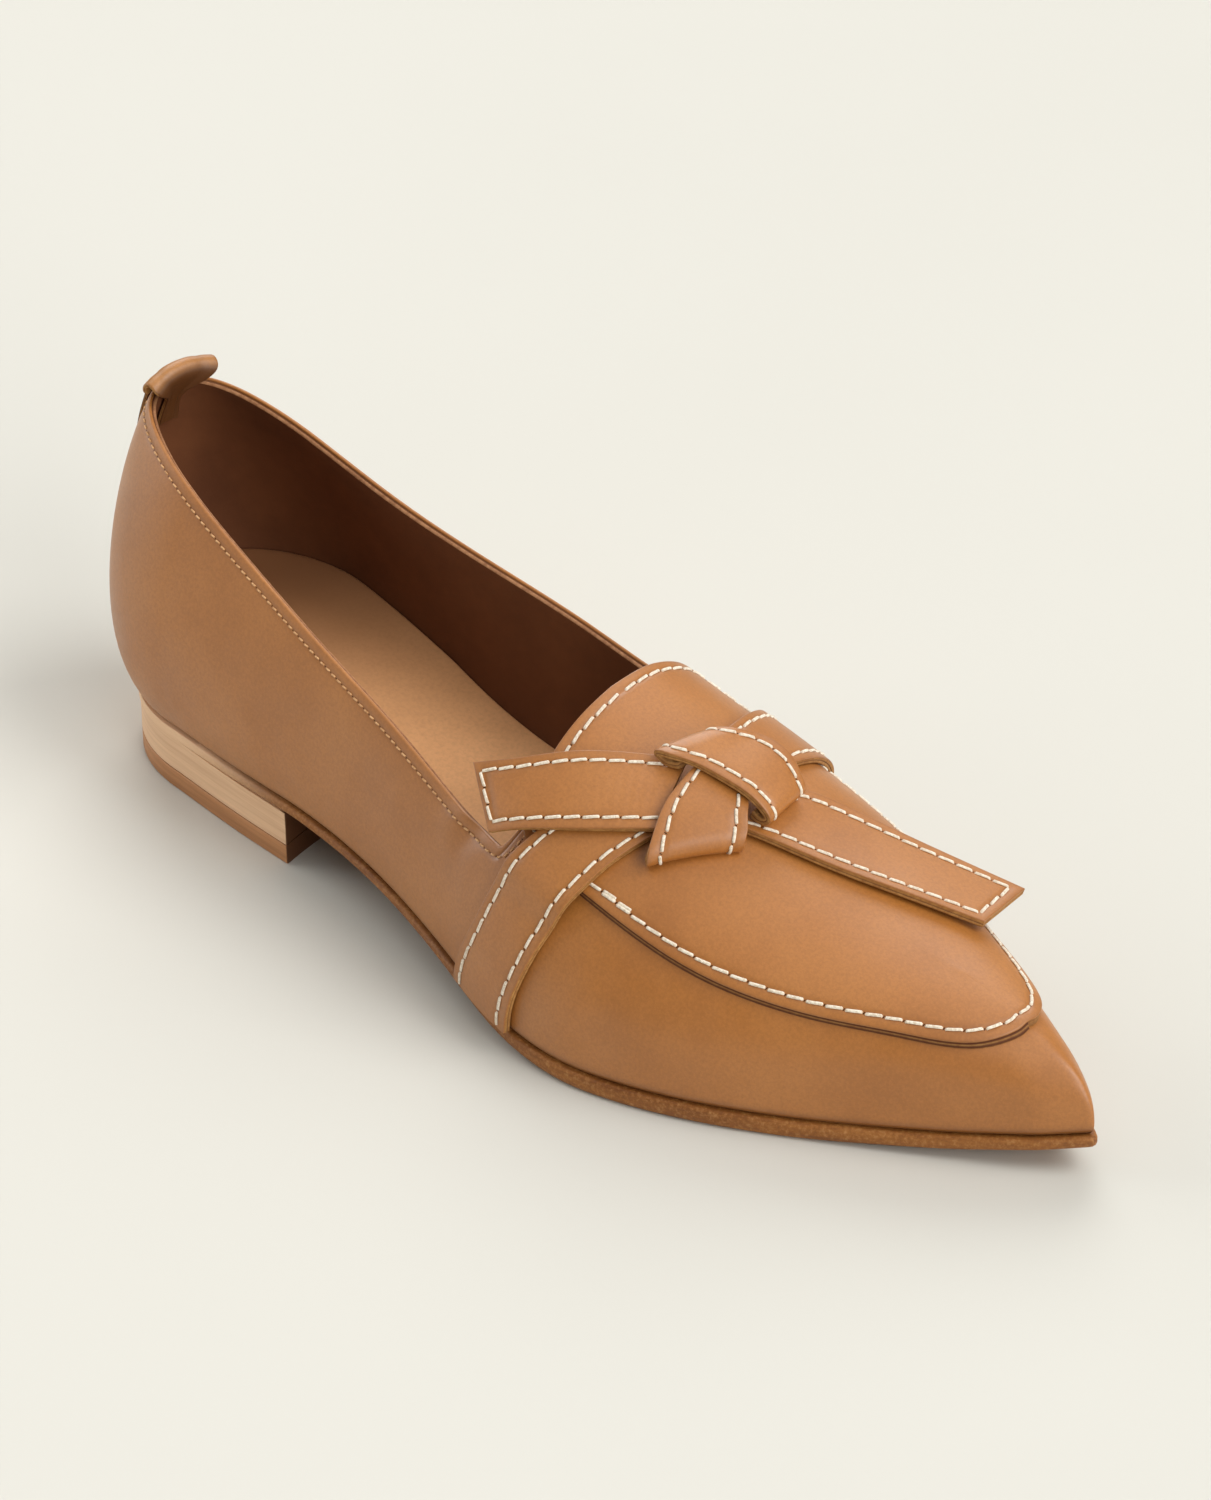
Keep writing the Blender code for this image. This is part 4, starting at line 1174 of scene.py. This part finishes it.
def band_line(surface, start, end):
    """Points and normals of a band's surface on the straight line between two places (along, across)."""
    (u, v), (u_end, v_end) = start, end
    steps = max(2, int(math.hypot(u_end - u, v_end - v) / SEAM_STEP))
    return [surface(u + (u_end - u) * t, v + (v_end - v) * t) for t in np.linspace(0.0, 1.0, steps)]


def sew_band(thread, band, start, end, cut=False):
    """Stitches along both edges of a band between two distances along it, and across its cut end."""
    surface, _, width = band
    near, far = STITCH_INSET, width - STITCH_INSET
    runs = [((start, near), (end, near))]
    if cut:
        runs += [((end, near), (end, far)), ((end, far), (start, far))]
    else:
        runs += [((start, far), (end, far))]
    for run in runs:
        thread.sew(band_line(surface, *run))


def inset_line(points, faces, normals, loop, inset):
    """A line on a surface, inset from the loop round its edge, as (point, normal) pairs."""
    tree = BVHTree.FromPolygons([tuple(p) for p in points], [tuple(map(int, face)) for face in faces])
    ahead = unit(np.roll(points[loop], -LOOP_AHEAD, axis=0) - np.roll(points[loop], LOOP_AHEAD, axis=0))
    line = []
    for point, normal, direction in zip(points[loop], normals[loop], ahead):
        inward = inset * unit(np.cross(normal, direction))
        tries = [tree.find_nearest(Vector(point + sign * inward)) for sign in (-1, 1)]
        found, face_normal, _, _ = min(tries, key=lambda hit: hit[3])
        line.append((np.array(found), np.array(face_normal)))
    return line


def backtack(line):
    """The doubled stretch beside the lateral strap, where the apron's thread starts."""
    start = above_last(*BACKTACK, APRON_TOP)
    nearest = int(np.argmin([np.linalg.norm(point - start) for point, _ in line]))
    stretch = line[nearest - BACKTACK_REACH : nearest + BACKTACK_REACH + 1]
    return [(point + BACKTACK_SHIFT, normal) for point, normal in stretch]


def loft(name, rings, material, shade, sharp):
    """A closed solid through rings of equally many points, capped at both ends."""
    count = len(rings[0])
    points = np.array([point for ring in rings for point in ring])
    faces = tube([range(start, start + count) for start in range(0, len(points), count)], RING_FIRST)
    return add_piece(name, points, faces, [material], [shade(point) for point in points], sharp=sharp)


def make_outsole(material):
    """The outsole with a rounded, burnished edge; its heel end is as pale as the heel."""
    rings = []
    for walked in np.linspace(unroll(OUTSOLE_ENDS), unroll(LENGTH - OUTSOLE_ENDS), SOLE_WALKS):
        along = roll(walked)
        rounding = HEEL_ROUNDING + (1 - HEEL_ROUNDING) * ease(along, *FOREPART_EASE)
        rounding += TOE_ROUNDING * ease(along, *TOE_EASE)
        ring = []
        for side in SIDES:
            for inset, share, shift in OUTSOLE_PROFILE[:: -SIGN[side]]:
                x, y = edge_point(side, walked, rounding * inset)[0]
                ring.append((x, y, bottom(x) + share * (bed(x) - bottom(x)) + shift))
        rings.append(ring)
    made = loft("outsole_fine", rings, material, lambda point: ease(point[0], *PALE_HEEL_EASE), sharp=40.0)
    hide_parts("outsole")


def insole_top(along):
    return bed(along) + GAP + INSOLE_CURVE(along)


def insole_rim(side, walked):
    """The place inside the upper's wall that is level with the insole's top."""

    def above(share):
        point = on_last(side, walked, share, -INSOLE_CLEAR)
        return point[2] > insole_top(point[0])

    along, across, _ = on_last(side, walked, halve(above), -INSOLE_CLEAR)
    return np.array([along, across, insole_top(along)])


def make_insole(material):
    """The insole: raised under the heel, its top a little dished, its edges turned up at the lining."""
    rings = []
    for walked in np.linspace(unroll(INSOLE_BACK), unroll(INSOLE_FRONT), INSOLE_WALKS):
        rims = {side: insole_rim(side, walked) for side in SIDES}
        width = np.linalg.norm(rims["lateral"] - rims["medial"])
        ring = []
        for side, rim in rims.items():
            foot = on_bed(edge_point(side, walked, INSOLE_INSET)[0])
            rise = [foot, rim - (0.0, 0.0, INSOLE_RIM_DROP)]
            for inset, drop in INSOLE_PROFILE:
                inward = (rims[OTHER[side]] - rim) * min(inset / width, INSOLE_MOST_INWARD)
                rise.append(rim + inward - (0.0, 0.0, drop * min(1.0, width / INSOLE_FULL_WIDTH)))
            ring += rise[:: -SIGN[side]]
        rings.append(ring)
    # The shade attribute paints shade towards the heel.
    made = loft("insole_fine", rings, material, lambda point: ease(point[0], *INSOLE_PAINTED_SHADE_END), sharp=60.0)
    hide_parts("insole")


def heel_plan(inset, height):
    """The heel's outline at one height: round the back, then along its hollow breast."""
    walks = np.linspace(0.0, unroll(BREAST_ALONG), HEEL_SIDE_POINTS)
    lateral, medial = ([edge_point(side, walked, inset)[0] for walked in walks] for side in SIDES)
    ring = lateral[::-1] + medial[1:]
    first, last = ring[-1][1], ring[0][1]
    inner = np.linspace(first, last, BREAST_POINTS + 1)[1:-1]
    for across in (first - BREAST_CORNER, *inner, last + BREAST_CORNER):
        hollow = BREAST_HOLLOW * (1 - (across / HEEL_HALF) ** 2)
        ring.append((BREAST_ALONG - hollow, across))
    return [(point[0], point[1], height) for point in ring]


def make_heel(node, rows, material):
    """A heel part as rings up its height, with painted shade on its breast."""
    rings = [heel_plan(inset, height) for height, inset in rows]
    breast = {point for ring in rings for point in ring[2 * HEEL_SIDE_POINTS - 1 :]}
    # The breast's points get painted shade.
    made = loft(node + "_fine", rings[::-1], material, lambda point: tuple(point) not in breast, sharp=32.0)
    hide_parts(node)


class Nodes:
    """A material's node tree, with short ways to add and link nodes."""

    def __init__(self, name, roughness, specular=0.5, coat=0.0, coat_roughness=0.3):
        self.material = bpy.data.materials.new(name)
        self.material.use_nodes = True
        self.tree = self.material.node_tree
        self.shader = self.tree.nodes["Principled BSDF"]
        self.set(self.shader, {"Roughness": roughness, "Specular IOR Level": specular})
        self.set(self.shader, {"Coat Weight": coat, "Coat Roughness": coat_roughness})
        self.place = self.add("ShaderNodeTexCoord").outputs["Object"]

    def add(self, kind, **settings):
        node = self.tree.nodes.new(kind)
        for name, value in settings.items():
            setattr(node, name, value)
        return node

    def set(self, node, values):
        """Gives inputs their values, or links them to the sockets given instead."""
        for name, value in values.items():
            if hasattr(value, "links"):
                self.tree.links.new(value, node.inputs[name])
            elif value is not None:
                node.inputs[name].default_value = value
        return node

    def stretched(self, scale):
        mapping = self.set(self.add("ShaderNodeMapping"), {"Scale": scale, "Vector": self.place})
        return mapping.outputs["Vector"]

    def noise(self, scale, detail=3.0, roughness=0.5, vector=None):
        node = self.add("ShaderNodeTexNoise")
        self.set(node, {"Scale": scale, "Detail": detail, "Roughness": roughness})
        self.set(node, {"Vector": vector or self.place})
        return node.outputs["Fac"]

    def cells(self, scale):
        node = self.add("ShaderNodeTexVoronoi", feature="DISTANCE_TO_EDGE")
        return self.set(node, {"Scale": scale, "Vector": self.place}).outputs["Distance"]

    def ramp(self, value, stops):
        node = self.set(self.add("ShaderNodeValToRGB"), {"Fac": value})
        while len(node.color_ramp.elements) < len(stops):
            node.color_ramp.elements.new(0.5)
        for element, (position, color) in zip(node.color_ramp.elements, stops):
            element.position = position
            element.color = (*color, 1.0)
        return node.outputs["Color"]

    def span(self, value, low, high, to_low, to_high):
        node = self.set(self.add("ShaderNodeMapRange"), {"Value": value, "From Min": low, "From Max": high})
        return self.set(node, {"To Min": to_low, "To Max": to_high}).outputs["Result"]

    def mix(self, factor, first, second):
        """One color turning into another; each may be a color or a socket."""
        node = self.add("ShaderNodeMix", data_type="RGBA")
        first, second = ((*color, 1.0) if isinstance(color, tuple) else color for color in (first, second))
        self.set(node, {MIX_FACTOR: factor, MIX_FIRST: first, MIX_SECOND: second})
        return node.outputs[MIX_RESULT]

    def fleck(self, color, value, low, high, most, other):
        """Mixes another color in, the more the further value is from low to high."""
        return self.mix(self.span(value, low, high, 0.0, most), color, other)

    def shade(self, color, dark):
        """Another color where the piece's shade attribute is low."""
        attribute = self.add("ShaderNodeAttribute", attribute_name="shade")
        return self.mix(attribute.outputs["Fac"], dark, color)

    def bump(self, height, strength, distance, before=None):
        node = self.add("ShaderNodeBump")
        self.set(node, {"Strength": strength, "Distance": distance, "Height": height, "Normal": before})
        return node.outputs["Normal"]

    def finish(self, color, normal=None, roughness=None):
        self.set(self.shader, {"Base Color": color, "Normal": normal, "Roughness": roughness})
        return self.material


def scaled(color, factor):
    return tuple(min(1.0, factor * part) for part in color)


def leather_material(name, pale, mean, deep, dark, coat):
    """Smooth calf: soft mottling, fine pores and a satin finish that is a little uneven."""
    made = Nodes(name, roughness=0.47, specular=0.6, coat=coat, coat_roughness=0.36)
    color = made.ramp(made.noise(38.0, 3.0, 0.55), [(0.3, deep), (0.5, mean), (0.72, pale)])
    speckle = made.noise(1300.0, 3.0, 0.75)
    color = made.fleck(color, speckle, 0.45, 0.8, 0.5, scaled(deep, 0.72))
    color = made.fleck(color, speckle, 0.5, 0.2, 0.3, scaled(pale, 1.25))
    # Darker where the shade attribute is low: painted shade by the feather line, the seams and the tab's
    # legs, and darker cut edges.
    color = made.shade(color, dark)
    pores = made.bump(made.cells(1150.0), 0.16, 0.00012)
    grain = made.bump(made.noise(420.0, 4.0, 0.6), 0.10, 0.00025, pores)
    return made.finish(color, grain, made.span(made.noise(70.0, 6.0, 0.75), 0.3, 0.7, 0.38, 0.57))


def edge_material(name, pale, dark, roughness=0.75):
    """A cut leather edge: fibrous, matt and dark between its two layers."""
    made = Nodes(name, roughness, specular=0.3)
    color = made.ramp(made.noise(700.0, 4.0, 0.65), [(0.35, dark), (0.65, pale)])
    # Dark where the shade attribute is low: between the layers, and painted shade on the collar's rim by the
    # throat.
    color = made.shade(color, (0.075, 0.016, 0.004))
    return made.finish(color, made.bump(made.noise(1300.0, 3.0, 0.6), 0.4, 0.0002))


def lining_material():
    made = Nodes("lining_leather", roughness=0.7, specular=0.35)
    stops = [(0.3, (0.135, 0.045, 0.015)), (0.7, (0.185, 0.065, 0.022))]
    color = made.ramp(made.noise(60.0, 4.0, 0.6), stops)
    fine = made.bump(made.cells(1400.0), 0.2, 0.0001)
    return made.finish(made.shade(color, (0.05, 0.02, 0.01)), fine)


def sole_material(heel_pale):
    """Sole leather: burnished orange-brown edge with faint streaks, paler at the heel."""
    made = Nodes("sole_leather", roughness=0.55, specular=0.4)
    streaks = made.noise(24.0, 5.0, 0.65, made.stretched((1.0, 1.0, 14.0)))
    stops = [(0.3, (0.19, 0.06, 0.01)), (0.52, (0.31, 0.112, 0.02)), (0.75, (0.39, 0.155, 0.034))]
    color = made.ramp(streaks, stops)
    fibres = made.noise(1100.0, 4.0, 0.7)
    color = made.fleck(color, fibres, 0.5, 0.75, 0.5, (0.6, 0.31, 0.11))
    color = made.fleck(color, fibres, 0.5, 0.3, 0.45, (0.12, 0.04, 0.012))
    color = made.shade(color, heel_pale)
    rough = made.bump(made.noise(900.0, 4.0, 0.6, made.stretched((1.0, 1.0, 3.0))), 0.25, 0.0002)
    return made.finish(color, rough, made.span(streaks, 0.3, 0.7, 0.48, 0.66))


def heel_material(name, pale, dark, roughness):
    """Stacked heel: fine level layers."""
    made = Nodes(name, roughness, specular=0.4)
    layers = made.noise(30.0, 4.0, 0.6, made.stretched((1.0, 1.0, 26.0)))
    color = made.ramp(layers, [(0.33, dark), (0.55, pale), (0.78, scaled(pale, 1.12))])
    color = made.fleck(color, made.noise(90.0, 4.0, 0.6), 0.3, 0.75, 0.22, dark)
    # Painted shade on the breast, where the shade attribute is low.
    color = made.shade(color, (0.1, 0.035, 0.01))
    fine = made.bump(made.noise(500.0, 3.0, 0.6, made.stretched((1.0, 1.0, 8.0))), 0.2, 0.00015)
    return made.finish(color, fine)


def insole_material():
    made = Nodes("insole_leather", roughness=0.6, specular=0.4)
    color = made.ramp(made.noise(45.0, 4.0, 0.6), [(0.3, (0.74, 0.37, 0.155)), (0.7, (0.84, 0.43, 0.19))])
    color = made.fleck(color, made.noise(1100.0, 2.0, 0.6), 0.4, 0.75, 0.25, (0.42, 0.19, 0.08))
    # Painted shade towards the heel end.
    color = made.shade(color, (0.34, 0.15, 0.06))
    return made.finish(color, made.bump(made.noise(800.0, 4.0, 0.6), 0.15, 0.0002))


def thread_material(name, pale, dark):
    made = Nodes(name, roughness=0.8, specular=0.25)
    color = made.ramp(made.noise(1600.0, 3.0, 0.6), [(0.3, dark), (0.6, pale)])
    return made.finish(color, made.bump(made.noise(2600.0, 2.0, 0.5), 0.5, 0.0002))


def hole_material(color):
    # Painted shade for the stitch holes.
    made = Nodes("stitch_hole", roughness=0.9, specular=0.2)
    return made.finish(made.ramp(made.noise(500.0), [(0.3, scaled(color, 0.9)), (0.7, color)]))


def add_sun(name, toward, angle, strength):
    """A soft far light of this apparent width, shining from a direction."""
    light = bpy.data.lights.new(name, "SUN")
    light.energy = strength * math.pi
    light.angle = math.radians(angle)
    add_object(name, light).rotation_euler = Vector(toward).to_track_quat("Z", "Y").to_euler()


def make_studio():
    """A pale floor under soft far lights and a warm white surround."""
    scene = bpy.context.scene
    mesh = bpy.data.meshes.new("floor")
    corners = [(x * FLOOR_REACH, y * FLOOR_REACH, 0.0) for x, y in ((-1, -1), (1, -1), (1, 1), (-1, 1))]
    mesh.from_pydata(corners, [], [(0, 1, 2, 3)])
    floor = add_object("floor", mesh)
    paper = Nodes("floor_paper", roughness=0.9, specular=0.1)
    tone = paper.ramp(paper.noise(3.0), [(0.4, (0.645, 0.63, 0.57)), (0.6, (0.655, 0.64, 0.58))])
    mesh.materials.append(paper.finish(tone))
    world = bpy.data.worlds.new("surround")
    world.use_nodes = True
    background = world.node_tree.nodes["Background"]
    background.inputs["Color"].default_value = (1.0, 0.985, 0.95, 1.0)
    background.inputs["Strength"].default_value = WORLD_STRENGTH
    scene.world = world
    for row in SUNS:
        add_sun(*row)
    scene.view_settings.view_transform = "Standard"
    scene.view_settings.look = "None"
    scene.view_settings.exposure = 0.0


def make_camera():
    """The photograph's camera place, turned to look at the middle of the shoe."""
    place = Vector(CAMERA_PLACE)
    forward = (Vector(CAMERA_AIM) - place).normalized()
    down = Vector(CAMERA_DOWN)
    down = (down - down.dot(forward) * forward).normalized()
    matrix = Matrix((down.cross(forward).normalized(), -down, -forward)).transposed().to_4x4()
    matrix.translation = place * MM
    data = bpy.data.cameras.new("camera")
    data.sensor_fit = "AUTO"
    data.sensor_width = 36.0
    data.lens = CAMERA_LENS
    data.clip_start, data.clip_end = 0.05, 50.0
    camera = add_object("camera", data)
    camera.matrix_world = matrix
    bpy.context.scene.camera = camera


def make_bands(thread, leather, tab_leather, edge):
    """The straps, the bow's four bands and the pull tab, and the stitches on all but the tab."""

    def leather_band(node, middle, cut="", crinkle=0.0):
        return make_band(node, middle, STRAP_THICKNESS, [leather, edge], cut, crinkle)

    for side, rows in (("lateral", STRAP_LATERAL), ("medial", STRAP_MEDIAL)):
        band = leather_band("strap_" + side, strap_middle(side, rows)[:, :: -SIGN[side]])
        sew_band(thread, band, STRAP_SEWN_FROM, band[1])
    for node, table in (("knot_wrap", KNOT_WRAP), ("knot_turn", KNOT_TURN + KNOT_TURN_ROLL)):
        band = leather_band(node, bow_middle(table, KNOT_ROWS, above_last))
        sew_band(thread, band, KNOT_SEWN_FROM, band[1] - KNOT_SEWN_FROM)
    back = bow_middle(BOW_TAIL_BACK, TAIL_ROWS, above_last)
    band = leather_band("bow_tail_back", back, "first", TAIL_CRINKLE)
    sew_band(thread, band, band[1], TAIL_END_INSET, cut=True)
    band = leather_band("bow_tail_front", bow_middle(BOW_TAIL_FRONT, TAIL_ROWS, placed), "last")
    sew_band(thread, band, 0.0, band[1] - STITCH_INSET, cut=True)
    make_band("heel_tab", tab_middle(), TAB_THICKNESS, [tab_leather, edge], "first", lit=TAB_LIT)


def main():
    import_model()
    make_camera()
    make_studio()
    tan_shades = (0.445, 0.17, 0.033), (0.41, 0.15, 0.026), (0.36, 0.126, 0.019), (0.1, 0.028, 0.006)
    tan = leather_material("tan_calf", *tan_shades, 0.33)
    ochre_shades = (0.43, 0.18, 0.035), (0.39, 0.155, 0.027), (0.33, 0.125, 0.02), (0.07, 0.022, 0.006)
    ochre = leather_material("ochre_calf", *ochre_shades, 0.1)
    lining = lining_material()
    raw = edge_material("raw_edge", (0.46, 0.235, 0.07), (0.3, 0.13, 0.035))
    rim = edge_material("rim_edge", (0.4, 0.19, 0.085), (0.24, 0.1, 0.04), 0.65)
    hole = hole_material((0.035, 0.016, 0.008))
    cream = thread_material("cream_thread", (0.86, 0.78, 0.64), (0.6, 0.48, 0.34))
    tan_thread = thread_material("tan_thread", (0.78, 0.47, 0.23), (0.5, 0.25, 0.1))
    heel_pale = (0.84, 0.55, 0.33)
    upper = make_upper(tan, lining, rim)
    apron = make_apron(tan, raw)
    thread = Thread(STITCH_PITCH, STITCH_SHOWN, STITCH_RADIUS)
    make_bands(thread, tan, ochre, raw)
    line = inset_line(*apron, APRON_STITCH_INSET)
    thread.sew(line)
    thread.sew(backtack(line))
    thread.finish("cream_stitches", cream, "thread", hole)
    fine = Thread(COLLAR_PITCH, COLLAR_SHOWN, COLLAR_RADIUS)
    fine.sew(inset_line(*upper, COLLAR_INSET))
    fine.finish("collar_stitches", tan_thread, "thread_tan", hole)
    make_outsole(sole_material(heel_pale))
    make_insole(insole_material())
    lift = heel_material("toplift_leather", (0.56, 0.26, 0.105), (0.42, 0.185, 0.07), 0.55)
    make_heel("heel_toplift", TOPLIFT_ROWS, lift)
    block = heel_material("stacked_heel", heel_pale, (0.72, 0.44, 0.25), 0.5)
    make_heel("heel_block", BLOCK_ROWS, block)


main()
